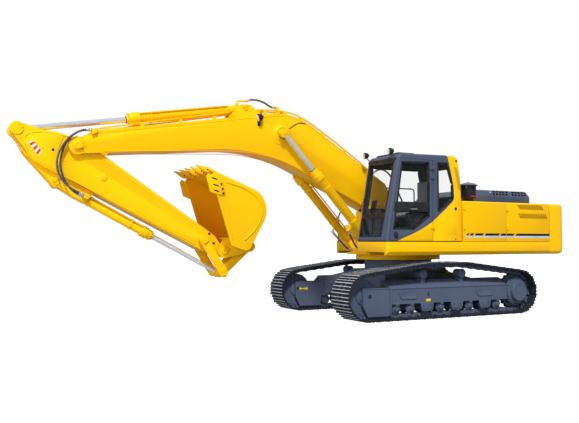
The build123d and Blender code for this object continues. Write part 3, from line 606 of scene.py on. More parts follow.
def turned(name, profile, centre, facing, steps):
    """A part turned on a lathe from (radius, height) points, set at a place and facing."""
    bpy.ops.object.select_all(action="DESELECT")
    radius, height = profile[0]
    bpy.ops.mesh.primitive_circle_add(vertices=steps, radius=radius, fill_type="NGON", location=(0, 0, height))
    piece = bpy.context.object
    piece.name = name
    bpy.ops.object.transform_apply(location=True, rotation=True, scale=True)
    bpy.ops.object.mode_set(mode="EDIT")
    bpy.ops.mesh.select_all(action="SELECT")
    for (r1, h1), (r2, h2) in zip(profile, profile[1:]):
        bpy.ops.mesh.extrude_region_move(TRANSFORM_OT_translate={"value": (0, 0, h2 - h1)})
        bpy.ops.transform.resize(value=(r2 / r1, r2 / r1, 1), center_override=(0, 0, h2))
    bpy.ops.mesh.select_all(action="SELECT")
    bpy.ops.mesh.normals_make_consistent(inside=False)
    bpy.ops.object.mode_set(mode="OBJECT")
    turn = Vector(facing).to_track_quat("Z", "Y").to_matrix().to_4x4()
    piece.data.transform(Matrix.Translation(centre) @ turn)
    bpy.ops.object.shade_smooth_by_angle(angle=SMOOTH_BELOW)
    return piece


def bolt_ring(name, centre, facing, radius, count, size, height):
    """Hexagon bolt heads set in a ring on a face."""
    head = bar(name, (radius, 0, -0.002), (radius, 0, height), size, 6, size * 0.12)
    turn = Matrix.Translation(centre) @ Vector(facing).to_track_quat("Z", "Y").to_matrix().to_4x4()
    return copies(name, head, [turn @ Matrix.Rotation(2 * math.pi * k / count, 4, "Z") for k in range(count)])


ROLLER_Z = 0.212
ROLLER_CAP = [
    (0.086, -0.034), (0.090, -0.030), (0.090, -0.004), (0.070, 0.010), (0.054, 0.014), (0.050, 0.034),
    (0.040, 0.040),
]
CARRIER_CAP = [(0.084, -0.03), (0.090, -0.024), (0.090, 0.0), (0.066, 0.014), (0.052, 0.018), (0.046, 0.030)]
ROLLER_FLANGE = [(0.104, 0), (0.108, 0.006), (0.108, 0.022), (0.104, 0.028)]
IDLER_BACK = [
    (0.335, -0.006), (0.335, 0.006), (0.300, 0.010), (0.285, -0.010), (0.150, -0.010), (0.135, 0.018),
    (0.090, 0.026),
]
IDLER_FACE = IDLER_BACK + [(0.080, 0.040), (0.030, 0.042)]
DRIVE_CAP = [(0.290, -0.010), (0.292, 0.012), (0.282, 0.020), (0.262, 0.020), (0.255, 0.040), (0.212, 0.048)]
DRIVE_COVER = [
    (0.200, -0.060), (0.200, 0.028), (0.192, 0.038), (0.182, 0.040), (0.178, 0.030), (0.060, 0.030),
    (0.050, 0.038),
]
# half as many teeth as steps: the ring goes in to a gap and out to a tip in turn
TOOTH_STEPS, TOOTH_GAP, TOOTH_TIP, TOOTH_HALF_ANGLE = 42, 0.322, 0.372, 0.035


def across(wheel, y):
    """A place on a track wheel's axle, at a distance from the machine's middle."""
    return (wheel[0], y, wheel[1])


for side, sign in SIDES:
    out = (0, sign, 0)
    caps = []
    for x in ROLLER_X:
        caps.append(turned("cap", ROLLER_CAP, (x, sign * (TRACK_Y + 0.120), ROLLER_Z), out, 24))
        caps.append(bar("bracket", (x, sign * 1.40, 0.296), (x, sign * 1.47, 0.296), 0.045, 6, 0.006))
        for flange_y in (TRACK_Y - 0.115, TRACK_Y + 0.085):
            caps.append(turned("flange", ROLLER_FLANGE, (x, sign * flange_y, ROLLER_Z), out, 24))
    for x in ROLLER_X[2:7:2]:
        guard = [
            (x - 0.16, 0.310), (x + 0.16, 0.310), (x + 0.13, 0.170), (x + 0.10, 0.145), (x - 0.10, 0.145),
            (x - 0.13, 0.170),
        ]
        caps.append(on_side("guard", guard, sign * 1.462, 0, 0.018, 0.006))
        for bolt_x in (x - 0.09, x + 0.09):
            head, tip = (bolt_x, sign * 1.478, 0.272), (bolt_x, sign * 1.492, 0.272)
            caps.append(bar("guard_bolt", head, tip, 0.018, 6, 0.002))
    for wheel in CARRIERS:
        caps.append(turned("carrier", CARRIER_CAP, across(wheel, sign * (TRACK_Y + 0.095)), out, 24))
    finish(join("roller_ends_" + side, caps), grey_paint, "undercarriage")

    idler = [
        turned("idler_face", IDLER_FACE, across(IDLER, sign * (TRACK_Y + 0.080)), out, 48),
        turned("idler_back", IDLER_BACK, across(IDLER, sign * (TRACK_Y - 0.080)), (0, -sign, 0), 48),
    ]
    finish(join("idler_faces_" + side, idler), grey_paint, "undercarriage")

    teeth = []
    for k in range(TOOTH_STEPS):
        angle = 2 * math.pi * k / TOOTH_STEPS
        radius = TOOTH_TIP if k % 2 else TOOTH_GAP
        for turn in (angle - TOOTH_HALF_ANGLE, angle + TOOTH_HALF_ANGLE):
            teeth.append((SPROCKET[0] + radius * math.cos(turn), SPROCKET[1] + radius * math.sin(turn)))
    ring = on_side("sprocket_ring_" + side, teeth, sign * TRACK_Y, 0.030, 0.030, 0.005)
    finish(ring, track_steel, "undercarriage")
    drive = [
        turned("drive_cap", DRIVE_CAP, across(SPROCKET, sign * (TRACK_Y + 0.130)), out, 56),
        turned("drive_cover", DRIVE_COVER, across(SPROCKET, sign * (TRACK_Y + 0.205)), out, 56),
        bolt_ring("drive_bolts", across(SPROCKET, sign * (TRACK_Y + 0.150)), out, 0.272, 24, 0.014, 0.014),
        bolt_ring("cover_bolts", across(SPROCKET, sign * (TRACK_Y + 0.235)), out, 0.150, 12, 0.010, 0.010),
        bar(
            "drive_plug", (SPROCKET[0], sign * (TRACK_Y + 0.230), 0.572),
            (SPROCKET[0], sign * (TRACK_Y + 0.246), 0.572), 0.018, 6, 0.002,
        ),
    ]
    finish(join("final_drive_" + side, drive), grey_paint, "undercarriage")

# ---- slew ring ----------------------------------------------------------------------------
# The bolted race that the upper part turns on: a turned steel ring with a groove for its seal,
# and a ring of bolts above and below.
UP, DOWN = (0, 0, 1), (0, 0, -1)
RACE = [
    (0.700, 0), (0.706, 0.004), (0.706, 0.036), (0.696, 0.040), (0.696, 0.052), (0.706, 0.056),
    (0.706, 0.088), (0.700, 0.092),
]
race = [
    turned("slew_race", RACE, (0, 0, 1.004), UP, 72),
    bolt_ring("slew_bolts_low", (0, 0, 1.000), UP, 0.695, 40, 0.014, 0.020),
    bolt_ring("slew_bolts", (0, 0, 1.100), DOWN, 0.640, 40, 0.020, 0.026),
]
finish(join("slew_race", race), grey_paint, "undercarriage")

# ---- deck, body panels and counterweight --------------------------------------------------
# Pressed sheet covers and sills, and a cast counterweight. Their corners are rounded by the
# press or the mould, so each is a softened copy of the part under it.


def softened(node, width, material):
    """A copy of a part with its loose corners merged and its edges rounded, in its place."""
    part = frame["nodes"][node]
    piece = part.copy()
    piece.data = part.data.copy()
    piece.parent = None
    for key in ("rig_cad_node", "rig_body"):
        if key in piece:
            del piece[key]
    bpy.context.scene.collection.objects.link(piece)
    piece.name = node + "_panelwork"
    take_up(piece)
    bpy.ops.object.mode_set(mode="EDIT")
    bpy.ops.mesh.select_all(action="SELECT")
    bpy.ops.mesh.remove_doubles(threshold=0.0001)
    bpy.ops.mesh.dissolve_limited(angle_limit=math.radians(0.5))
    bpy.ops.mesh.customdata_custom_splitnormals_clear()
    bpy.ops.object.mode_set(mode="OBJECT")
    round_edges(piece, width, 2, 40)
    finish(piece, material, part["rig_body"])
    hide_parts(node)
    return piece


for node, width in (
    ("side_decks", 0.006), ("counterweight", 0.030), ("left_front_door", 0.006), ("left_rear_door", 0.006),
    ("right_rear_door", 0.006), ("tanks", 0.004), ("tool_box", 0.006), ("engine_house", 0.004),
    ("main_frame", 0.004),
):
    softened(node, width, yellow_paint)

# ---- side stripes -------------------------------------------------------------------------
# Self-adhesive vinyl along both sides, black over silver, in six slanting lengths that grow
# towards the tail. Each length is cut where it crosses the gap between two panels.
STRIPE_LOW, STRIPE_MIDDLE, STRIPE_HIGH = 1.548, 1.590, 1.637
# how far a stripe's top edge lies behind its foot, and the x of each length's two ends
STRIPE_LEAN = 0.076
STRIPE_SPANS = (
    (-0.538, -0.585), (-0.624, -0.705), (-0.757, -0.960), (-1.015, -1.393), (-1.438, -1.800), (-1.855, -2.970),
)
# the y of the doors' outer face, and how far vinyl or a pressed part is let into it
PANEL_FACE, LET_IN = 1.490, 0.001
black_vinyl = mottled(
    "black_vinyl", (0.008, 0.008, 0.009), 0.4, specular=0.15, tones=((0.006, 0.006, 0.007), (0.014, 0.014, 0.016)),
)
silver_vinyl = mottled(
    "silver_vinyl", (0.50, 0.55, 0.66), 0.35, tones=((0.44, 0.49, 0.60), (0.58, 0.63, 0.72)),
)


def stripe_length(front, rear, low, high, x_from, x_to):
    """The corners of one slanting length between two heights, cut to a panel's span."""
    lean_low = STRIPE_LEAN * (low - STRIPE_LOW) / (STRIPE_HIGH - STRIPE_LOW)
    lean_high = STRIPE_LEAN * (high - STRIPE_LOW) / (STRIPE_HIGH - STRIPE_LOW)
    corners = [(front - lean_low, low), (rear - lean_low, low), (rear - lean_high, high), (front - lean_high, high)]
    return [(min(max(x, x_from), x_to), z) for x, z in corners]


for side, sign, body, x_from, x_to in (
    ("left", 1, "left_front_door", -1.642, -0.500), ("left", 1, "left_rear_door", -2.886, -1.658),
    ("right", -1, "upper", -1.612, -0.510), ("right", -1, "right_rear_door", -2.886, -1.658),
):
    for tone, vinyl, low, high in (
        ("black", black_vinyl, STRIPE_MIDDLE, STRIPE_HIGH), ("silver", silver_vinyl, STRIPE_LOW, STRIPE_MIDDLE),
    ):
        outlines = [
            stripe_length(front, rear, low, high, x_from, x_to)
            for front, rear in STRIPE_SPANS if rear - STRIPE_LEAN <= x_to and front >= x_from
        ]
        lengths = [on_side("stripe", outline, sign * PANEL_FACE, 0.0005, 0.0012) for outline in outlines]
        finish(join("stripe_{}_{}_{}".format(tone, side, body), lengths), vinyl, body)

# ---- louvres in the rear doors ------------------------------------------------------------
# Pressed slots that let the radiator breathe: a row of level slats above, and below it a band of short slanting
# ones, each with a raised lip over its opening. Each opening is a flat plate painted dark brown: painted shade.
louvre_dark = enamel("louvre_dark", (0.09, 0.040, 0.003), 0.6)
LEVEL_SLATS, SLANTED_SLATS = 6, 15
SLOT_LOW, SLOT_HIGH = 1.957, 2.058
for sign, body in ((1, "left_rear_door"), (-1, "right_rear_door")):
    slots, lips = [], []
    for k in range(LEVEL_SLATS):
        x, z = -1.945 - k * 0.0145, 2.236 - k * 0.0165
        slots.append([(x, z), (x - 0.700, z), (x - 0.708, z - 0.009), (x - 0.008, z - 0.009)])
        lips.append([(x - 0.003, z + 0.0035), (x - 0.697, z + 0.0035), (x - 0.700, z - 0.0015), (x, z - 0.0015)])
    for k in range(SLANTED_SLATS):
        x = -2.048 - k * 0.0535
        slots.append([(x, SLOT_LOW), (x - 0.026, SLOT_LOW), (x + 0.032, SLOT_HIGH), (x + 0.058, SLOT_HIGH)])
        lips.append([(x + 0.002, SLOT_LOW), (x + 0.010, SLOT_LOW), (x + 0.066, SLOT_HIGH), (x + 0.058, SLOT_HIGH)])
    face = sign * PANEL_FACE
    slots = [on_side("slot", outline, face, LET_IN, 0.0015) for outline in slots]
    lips = [on_side("lip", outline, face, LET_IN, 0.006, 0.0015) for outline in lips]
    finish(join("louvre_slots_" + body, slots), louvre_dark, body)
    finish(join("louvre_lips_" + body, lips), yellow_paint, body)

# ---- door catches and hinges --------------------------------------------------------------
# Each side door has two flush painted catches with a key barrel at its free edge, and two leaf
# hinges at the other.
KEY_BARREL = [(0.011, -0.001), (0.011, 0.007), (0.004, 0.009)]
for body, sign, free, hinge_x in (
    ("left_front_door", 1, -0.535, -1.652), ("left_rear_door", 1, -1.700, -2.894),
    ("right_rear_door", -1, -1.700, -2.894),
):
    outer, out = sign * PANEL_FACE, (0, sign, 0)
    knuckle_y, barrel_y = outer + sign * 0.006, outer + sign * 0.003
    metal, flush = [], []
    for z in (1.71, 2.10):
        catch = oblong(free + 0.035, z + 0.022, free - 0.035, z - 0.022)
        flush += [
            on_side("catch", catch, outer, LET_IN, 0.004, 0.0015),
            bar("knuckle", (hinge_x, knuckle_y, z - 0.03), (hinge_x, knuckle_y, z + 0.03), 0.0065, 12),
        ]
        metal.append(turned("barrel", KEY_BARREL, (free + 0.018, barrel_y, z), out, 16))
    finish(join("catches_" + body, flush), yellow_paint, body)
    finish(join("catch_barrels_" + body, metal), black_parts, body)

# ---- engine hood --------------------------------------------------------------------------
# A pressed cover with sloping shoulders and five low ribs. Two blocks of oval holes in each shoulder let the hot
# air out; each hole is drawn as a near-black disc of painted shade in a lighter rim that is a painted highlight. A
# knob on each shoulder holds it down, and a grip bar lifts its rear.
hood_paint = enamel("hood_paint", (0.062, 0.080, 0.122), 0.42, dust=(0.22, 0.22, 0.22), dusty=0.08)
softened("engine_hood", 0.016, hood_paint)
# each shoulder falls 0.130 while it goes 0.115 outwards
SHOULDER_FALL, SHOULDER_RUN = 0.130, 0.115
slots, rims = [], []
for sign in (1, -1):
    lean = Vector((0, sign * SHOULDER_FALL, SHOULDER_RUN)).to_track_quat("Z", "Y").to_matrix().to_4x4()
    for block_x in (-1.940, -2.490):
        for column in range(5):
            for row in range(2):
                down = 0.27 + row * 0.46
                place = Matrix.Translation((
                    block_x - column * 0.092 + row * 0.046, sign * (0.800 + SHOULDER_RUN * down),
                    2.580 - SHOULDER_FALL * down,
                ))
                for name, radius, height, group in (("oval", 0.039, 0.0080, slots), ("rim", 0.044, 0.0060, rims)):
                    oval = bar(name, (0, 0, -0.004), (0, 0, height), radius, 20)
                    oval.data.transform(place @ lean @ Matrix.Diagonal((1.0, 0.86, 1.0, 1.0)))
                    group.append(oval)
# near-black plates set where there are openings: painted shade in the hood's holes, the cutters' slots and the gap
# under the cab
hollow_black = mottled(
    "hollow_black", (0.003, 0.003, 0.004), 0.9, specular=0.0, marks=30,
    tones=((0.002, 0.002, 0.003), (0.006, 0.006, 0.007)),
)
finish(join("hood_slots", slots), hollow_black, "engine_hood")
# a pale blue-grey rim round each hole: a painted highlight
slot_rim = enamel("slot_rim", (0.24, 0.29, 0.38), 0.35)
finish(join("hood_slot_rims", rims), slot_rim, "engine_hood")
HOOD_KNOB = [(0.020, -0.002), (0.020, 0.006), (0.014, 0.012), (0.022, 0.018), (0.022, 0.030), (0.012, 0.036)]
knobs = [
    turned("knob", HOOD_KNOB, (-1.805, sign * 0.861, 2.511), (0, sign * SHOULDER_FALL, SHOULDER_RUN), 20)
    for sign in (1, -1)
]
finish(join("hood_knobs", knobs), plated_steel, "engine_hood")
RIB = [(-1.50, 2.577), (-1.53, 2.588), (-2.62, 2.588), (-2.65, 2.577)]
GRIP_X, GRIP_Z = -2.965, 2.36
ribs = [plate("rib", RIB, y - 0.035, y + 0.035, 0.005) for y in (-0.55, -0.275, 0, 0.275, 0.55)]
for sign in (1, -1):
    ribs.append(on_side("skirt", oblong(-1.05, 2.283, -2.91, 2.306), sign * 0.913, 0, 0.011, 0.004))
    ribs.append(bar("grip", (-2.91, sign * 0.30, GRIP_Z), (GRIP_X, sign * 0.30, GRIP_Z), 0.012, 12))
ribs.append(bar("grip_bar", (GRIP_X, -0.312, GRIP_Z), (GRIP_X, 0.312, GRIP_Z), 0.012, 12))
finish(join("hood_ribs", ribs), hood_paint, "engine_hood")

# ---- air pre-cleaner and exhaust ----------------------------------------------------------
# A ribbed plastic bowl under a wide domed lid with a wing knob, a red line that marks how full
# it may get, and a steel exhaust stub with a clamp and a slant-cut mouth.


def pipe(name, points, radius, sides=6):
    """A bent pipe or a weld bead along a line of points, made a mesh."""
    line = bent_line(name, points, 6)
    line.data.bevel_depth = radius
    line.data.bevel_resolution = sides // 2 - 1
    take_up(line)
    bpy.ops.object.convert(target="MESH")
    bpy.ops.object.shade_smooth()
    return bpy.context.object


HOUSE_TOP = 2.276
CLEANER_X, CLEANER_Y = -0.900, 1.200
bowl = [(0.100, 0.0), (0.100, 0.050), (0.132, 0.062), (0.152, 0.085)]
for k in range(9):
    base = 0.095 + k * 0.022
    bowl += [(0.154, base), (0.160, base + 0.006), (0.160, base + 0.012), (0.154, base + 0.018)]
bowl += [
    (0.156, 0.318), (0.170, 0.324), (0.184, 0.330), (0.185, 0.340), (0.176, 0.350), (0.162, 0.362), (0.130, 0.378),
    (0.080, 0.390), (0.030, 0.396),
]
cleaner = turned("precleaner_bowl", bowl, (CLEANER_X, CLEANER_Y, HOUSE_TOP), UP, 56)
finish(cleaner, black_parts, "upper")
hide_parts("air_precleaner")
WING_KNOB = [(0.010, 0), (0.012, 0.006), (0.022, 0.010), (0.022, 0.018), (0.008, 0.0185)]
metal = [
    turned("precleaner_knob", WING_KNOB, (CLEANER_X, CLEANER_Y, HOUSE_TOP + bowl[-1][1]), UP, 20),
    bar("precleaner_clip", (-0.768, 1.289, 2.560), (-0.764, 1.292, 2.590), 0.010, 12),
]
finish(join("precleaner_metal", metal), plated_steel, "upper")
lid_grey = enamel("lid_grey", (0.13, 0.15, 0.19), 0.38)
LID = [
    (0.168, 0), (0.182, 0.004), (0.1848, 0.008), (0.1845, 0.014), (0.176, 0.024), (0.162, 0.034), (0.130, 0.050),
    (0.080, 0.062), (0.030, 0.067),
]
finish(turned("precleaner_lid", LID, (CLEANER_X, CLEANER_Y, 2.6065), UP, 56), lid_grey, "upper")
red_mark = mottled("red_mark", (0.75, 0.015, 0.02), 0.4, marks=20, tones=((0.60, 0.010, 0.014), (0.85, 0.03, 0.03)))
# the red line runs over the ribs, on the side that the driver sees
around_bowl = [math.radians(65 + 13 * k) for k in range(6)]
red_line = [(CLEANER_X + 0.160 * math.cos(a), CLEANER_Y + 0.160 * math.sin(a), 2.388) for a in around_bowl]
finish(pipe("precleaner_line", red_line, 0.007), red_mark, "upper")
EXHAUST = (-2.300, -1.100, HOUSE_TOP)
clamp = [
    turned("exhaust_clamp", [(0.067, 0.030), (0.072, 0.032), (0.072, 0.056), (0.067, 0.058)], EXHAUST, UP, 40),
    turned("exhaust_collar", [(0.095, 0.0), (0.096, 0.006), (0.075, 0.010), (0.067, 0.022)], EXHAUST, UP, 40),
    bar("clamp_bolt", (-2.300, -1.195, 2.320), (-2.300, -1.165, 2.320), 0.008, 6),
]
finish(join("exhaust_fittings", clamp), plated_steel, "upper")
sooty_steel = mottled(
    "sooty_steel", (0.16, 0.13, 0.11), 0.55, 0.6, marks=9, detail=6,
    tones=((0.05, 0.045, 0.045), (0.24, 0.20, 0.17)), gloss=(0.4, 0.7), grain=(80, 0.3),
)
paint_nodes(sooty_steel, "exhaust_pipe")

# ---- walkway, tank tops and rails ---------------------------------------------------------
# Punched grip plates screwed on where the driver's mate walks and kneels, a cap on each tank,
# a mirror on the front rail, and the latch and steps of the tool box.
TANK_TOP, RAIL_Y, STUD_PITCH = 2.190, -1.405, 0.075
grip_parts = []
for x_low, x_high, y_low, y_high, z in (
    (-1.56, -0.70, -1.34, -0.66, 2.277), (-0.42, 0.02, -1.34, -0.66, 2.191), (0.13, 0.43, -1.30, -0.62, 1.851),
    (-2.82, -1.70, 0.98, 1.40, 2.277), (-2.82, -2.45, -1.40, -0.98, 2.277), (-2.10, -1.70, -1.40, -0.98, 2.277),
):
    grip_parts.append(plate("grip_plate", oblong(x_low, z, x_high, z + 0.004), y_low, y_high, 0.0015))
    stud = turned("stud", [(0.016, 0), (0.015, 0.004), (0.009, 0.008)], (0, 0, 0), UP, 10)
    along, over = (int((span - 0.06) / STUD_PITCH) for span in (x_high - x_low, y_high - y_low))
    grip_parts.append(copies("studs", stud, [
        Matrix.Translation((x_low + 0.05 + STUD_PITCH * i, y_low + 0.05 + STUD_PITCH * j, z + 0.003))
        for i in range(along) for j in range(over)
    ]))
finish(join("grip_plates", grip_parts), grey_paint, "upper")
TANK_CAP = [(0.085, 0), (0.085, 0.018), (0.070, 0.022), (0.070, 0.050), (0.062, 0.060), (0.030, 0.062)]
caps = []
for x, z in ((-1.15, HOUSE_TOP), (-0.20, TANK_TOP)):
    caps.append(turned("cap", TANK_CAP, (x, -0.58, z), UP, 36))
    caps.append(bar("cap_bar", (x - 0.045, -0.58, z + 0.068), (x + 0.045, -0.58, z + 0.068), 0.008, 10))
finish(join("tank_caps", caps), plated_steel, "upper")
latch = [
    bar("box_latch", (0.300, -1.371, 1.74), (0.300, -1.382, 1.74), 0.030, 20, 0.002),
    plate("box_catch", oblong(0.27, 1.70, 0.33, 1.62), -1.380, -1.369, 0.002),
]
finish(join("tool_box_latch", latch), black_parts, "upper")
lid_line = plate("tool_box_lid", oblong(0.118, 1.790, 0.492, 1.797), -1.373, -1.369)
finish(lid_line, black_parts, "upper")
RAIL_FOOT = [(0.042, 0.0), (0.042, 0.008), (0.024, 0.012), (0.020, 0.030)]
feet = []
for x, z in ((0.600, 1.465), (-0.380, TANK_TOP), (-0.580, HOUSE_TOP), (-1.540, HOUSE_TOP)):
    feet.append(turned("foot", RAIL_FOOT, (x, RAIL_Y, z), UP, 28))
    for turn in (math.radians(120 * k) for k in range(3)):
        bolt_x, bolt_y = x + 0.032 * math.cos(turn), RAIL_Y + 0.032 * math.sin(turn)
        feet.append(bar("foot_bolt", (bolt_x, bolt_y, z + 0.006), (bolt_x, bolt_y, z + 0.014), 0.007, 6))
finish(join("rail_feet", feet), grey_paint, "upper")
MIRROR_Y, MIRROR_Z = -1.470, 2.560
# a round disc is drawn out to an oval about the mirror's height, and set in from the rail
DRAWN_OUT = Matrix.Diagonal((1, 0.85, 1.5, 1))
TO_OVAL = Matrix.Translation((0, -0.22, MIRROR_Z)) @ DRAWN_OUT @ Matrix.Translation((0, 0, -MIRROR_Z))
MIRROR_BACK = [(0.086, 0.0), (0.094, 0.010), (0.088, 0.030), (0.050, 0.042)]
mirror_arm = bar("mirror_arm", (0.455, RAIL_Y, 2.345), (0.520, MIRROR_Y, 2.470), 0.008, 12)
mirror_back = turned("mirror_back", MIRROR_BACK, (0.505, MIRROR_Y, MIRROR_Z), (1, 0, 0), 32)
mirror_back.data.transform(TO_OVAL)
finish(join("rail_mirror", [mirror_arm, mirror_back]), black_parts, "upper")
silvered = mottled("silvered_glass", (0.86, 0.88, 0.90), 0.03, 1.0, marks=5, gloss=(0.02, 0.06))
mirror_face = turned("mirror_face", [(0.080, 0.0), (0.080, 0.003)], (0.501, MIRROR_Y, MIRROR_Z), (1, 0, 0), 32)
mirror_face.data.transform(TO_OVAL)
finish(mirror_face, silvered, "upper")

# ---- counterweight details ----------------------------------------------------------------
# On the plain casting: two red lamps set flush in its rear, in turned rims, and the heads of
# the two long bolts that hold it, under round covers.
LAMP_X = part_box("counterweight")[0][0] + 0.0105
BOLT_COVER = [(0.070, 0), (0.070, 0.008), (0.060, 0.012)]
LAMP_RIM = [(0.062, -0.004), (0.062, 0.010), (0.052, 0.014), (0.050, 0.006)]
TAIL_LENS = [(0.049, -0.002), (0.049, 0.008), (0.040, 0.0115), (0.010, 0.0125)]
covers, lenses = [], []
for y in (-0.90, 0.90):
    lamp_at = (LAMP_X, y * 1.05, 1.62)
    covers.append(turned("bolt_cover", BOLT_COVER, (-3.110, y, HOUSE_TOP), UP, 36))
    covers.append(turned("lamp_rim", LAMP_RIM, lamp_at, (-1, 0, 0), 36))
    lenses.append(turned("lens", TAIL_LENS, lamp_at, (-1, 0, 0), 36))
finish(join("counterweight_covers", covers), yellow_paint, "upper")
finish(join("tail_lenses", lenses), red_mark, "upper")

# ---- cab shell and door -------------------------------------------------------------------
# A welded cab of pressed steel: blue-grey in front, with the body's yellow behind a line that
# sweeps down from the rear of the roof, under the door, to its foot. Trim lines the inside.
# z and x of the points that the line between the two colours passes, and the range they lie in
SWEEP = [
    (1.400, 1.15), (1.470, 1.10), (1.500, 1.041), (1.633, 0.690), (1.808, 0.329), (1.985, 0.083), (2.165, -0.143),
    (2.306, -0.279), (2.400, -0.285), (2.542, -0.274), (2.874, -0.203), (3.200, -0.110),
]
SWEEP_FOOT, SWEEP_RISE = 1.4, 1.8
SWEEP_REAR, SWEEP_REACH = -0.5, 2.0
cab_paint = enamel("cab_paint", (0.066, 0.088, 0.142), 0.30)
tree = cab_paint.node_tree
shader = tree.nodes["Principled BSDF"]
grey_now = shader.inputs["Base Color"].links[0].from_socket
where = tree.nodes.new("ShaderNodeTexCoord")
parts = tree.nodes.new("ShaderNodeSeparateXYZ")
tree.links.new(where.outputs["Object"], parts.inputs["Vector"])
height = tree.nodes.new("ShaderNodeMapRange")
height.inputs["From Min"].default_value = SWEEP_FOOT
height.inputs["From Max"].default_value = SWEEP_FOOT + SWEEP_RISE
tree.links.new(parts.outputs["Z"], height.inputs["Value"])
sweep = tree.nodes.new("ShaderNodeFloatCurve")
curve = sweep.mapping.curves[0]
spots = [((z - SWEEP_FOOT) / SWEEP_RISE, (x - SWEEP_REAR) / SWEEP_REACH) for z, x in SWEEP]
curve.points[0].location, curve.points[1].location = spots[0], spots[-1]
for spot in spots[1:-1]:
    curve.points.new(*spot)
sweep.mapping.update()
tree.links.new(height.outputs["Result"], sweep.inputs["Value"])
edge_x = tree.nodes.new("ShaderNodeMath")
edge_x.operation = "MULTIPLY_ADD"
edge_x.inputs[1].default_value, edge_x.inputs[2].default_value = SWEEP_REACH, SWEEP_REAR
tree.links.new(sweep.outputs["Value"], edge_x.inputs[0])
behind = tree.nodes.new("ShaderNodeMath")
behind.operation = "LESS_THAN"
tree.links.new(parts.outputs["X"], behind.inputs[0])
tree.links.new(edge_x.outputs["Value"], behind.inputs[1])
both = tree.nodes.new("ShaderNodeMix")
both.data_type = "RGBA"
tree.links.new(behind.outputs["Value"], both.inputs["Factor"])
tree.links.new(grey_now, both.inputs["A"])
both.inputs["B"].default_value = (*YELLOW, 1)
tree.links.new(both.outputs["Result"], shader.inputs["Base Color"])

trim_grey = mottled(
    "cab_trim", (0.026, 0.029, 0.036), 0.75, marks=12,
    tones=((0.018, 0.020, 0.025), (0.038, 0.041, 0.049)), grain=(260, 0.4),
)

CAB_PROFILE = [
    (1.335, 1.470), (1.060, 3.080), (0.990, 3.145), (-0.310, 3.170), (-0.372, 3.125), (-0.440, 2.750),
    (-0.462, 2.290), (-0.475, 1.470),
]
INSIDE_PROFILE = [
    (1.274, 1.520), (1.015, 3.040), (0.965, 3.095), (-0.280, 3.118), (-0.320, 3.085), (-0.388, 2.750),
    (-0.410, 2.280), (-0.425, 1.520),
]
DOORWAY = [(1.275, 1.494), (1.010, 3.046), (0.239, 3.046), (0.239, 1.494)]
DOOR_WINDOW = [(0.981, 2.990), (0.320, 3.010), (0.320, 1.950), (0.700, 1.697), (1.190, 1.697)]
QUARTER_WINDOW = [(0.128, 3.010), (-0.122, 3.020), (-0.264, 2.600), (-0.270, 2.295), (0.080, 2.042), (0.128, 2.070)]
RIGHT_WINDOW = [(0.975, 2.960), (-0.200, 2.960), (-0.300, 2.500), (-0.310, 2.100), (1.120, 2.100)]
# the front and rear windows, in y and z
FRONT_WINDOW = [(0.535, 1.560), (1.285, 1.560), (1.380, 3.008), (0.535, 3.008)]
REAR_WINDOW = oblong(0.595, 2.350, 1.355, 2.950)
# how far each end wall leans for each metre up, and its x at the foot of its window
FRONT_SLOPE, FRONT_X, FRONT_Z = 0.1708, 1.335, 1.47
REAR_SLOPE, REAR_X, REAR_Z = 0.0922, -0.459, 2.35
LEFT_Y, RIGHT_Y, WALL = 1.475, 0.475, 0.050


def leant(piece, front):
    """Turns a piece made in x and z to face forwards, leaning with the front or the rear wall."""
    if front:
        wall = (0, 1, -FRONT_SLOPE, FRONT_X + FRONT_SLOPE * FRONT_Z)
    else:
        wall = (0, -1, REAR_SLOPE, REAR_X - REAR_SLOPE * REAR_Z)
    lean = Matrix((wall, (1, 0, 0, 0), (0, 0, 1, 0), (0, 0, 0, 1)))
    piece.data.transform(lean)
    if lean.determinant() < 0:
        piece.data.flip_normals()
    return piece


def cut(piece, tool, material):
    """Cuts one piece's shape out of another, and gives the cut faces a material."""
    tool.data.materials.append(material)
    take_up(piece)
    saw = piece.modifiers.new("cut", "BOOLEAN")
    saw.object = tool
    saw.operation = "DIFFERENCE"
    saw.solver = "EXACT"
    saw.material_mode = "TRANSFER"
    bpy.ops.object.modifier_apply(modifier="cut")
    bpy.data.objects.remove(tool)


shell = plate("cab_shell_panelwork", CAB_PROFILE, RIGHT_Y, LEFT_Y)
shell.data.materials.append(cab_paint)
for edge in shell.data.edges:
    first, second = (shell.data.vertices[index].co for index in edge.vertices)
    pillar = first.x > 1.0 and second.x > 1.0 and abs(first.z - second.z) > 1
    roof = min(first.z, second.z) > 3.05 and first.y == second.y
    edge.select = (pillar or roof) and abs(first.y - second.y) < 0.1
take_up(shell)
for vertex in shell.data.vertices:
    vertex.select = False
for polygon in shell.data.polygons:
    polygon.select = False
bpy.ops.object.mode_set(mode="EDIT")
bpy.ops.mesh.select_mode(type="EDGE")
bpy.ops.mesh.bevel(offset=0.045, segments=5, affect="EDGES")
bpy.ops.mesh.select_mode(type="VERT")
bpy.ops.object.mode_set(mode="OBJECT")
cut(shell, plate("hollow", INSIDE_PROFILE, RIGHT_Y + WALL, LEFT_Y - WALL), trim_grey)
for opening in (
    plate("doorway", DOORWAY, 1.380, 1.500), plate("window", QUARTER_WINDOW, 1.380, 1.500),
    plate("window", RIGHT_WINDOW, 0.400, 0.600), leant(plate("window", FRONT_WINDOW, -0.15, 0.10), True),
    leant(plate("window", REAR_WINDOW, -0.15, 0.10), False),
):
    cut(shell, opening, black_parts)
round_edges(shell, 0.005, 2, 25)
finish(shell, None, "upper")
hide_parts("cab_shell")
cab_door = softened("cab_door", 0.006, cab_paint)
cab_door.data.materials.append(trim_grey)
for polygon in cab_door.data.polygons:
    if polygon.center.y < 1.428 and polygon.normal.y < -0.5:
        polygon.material_index = 1

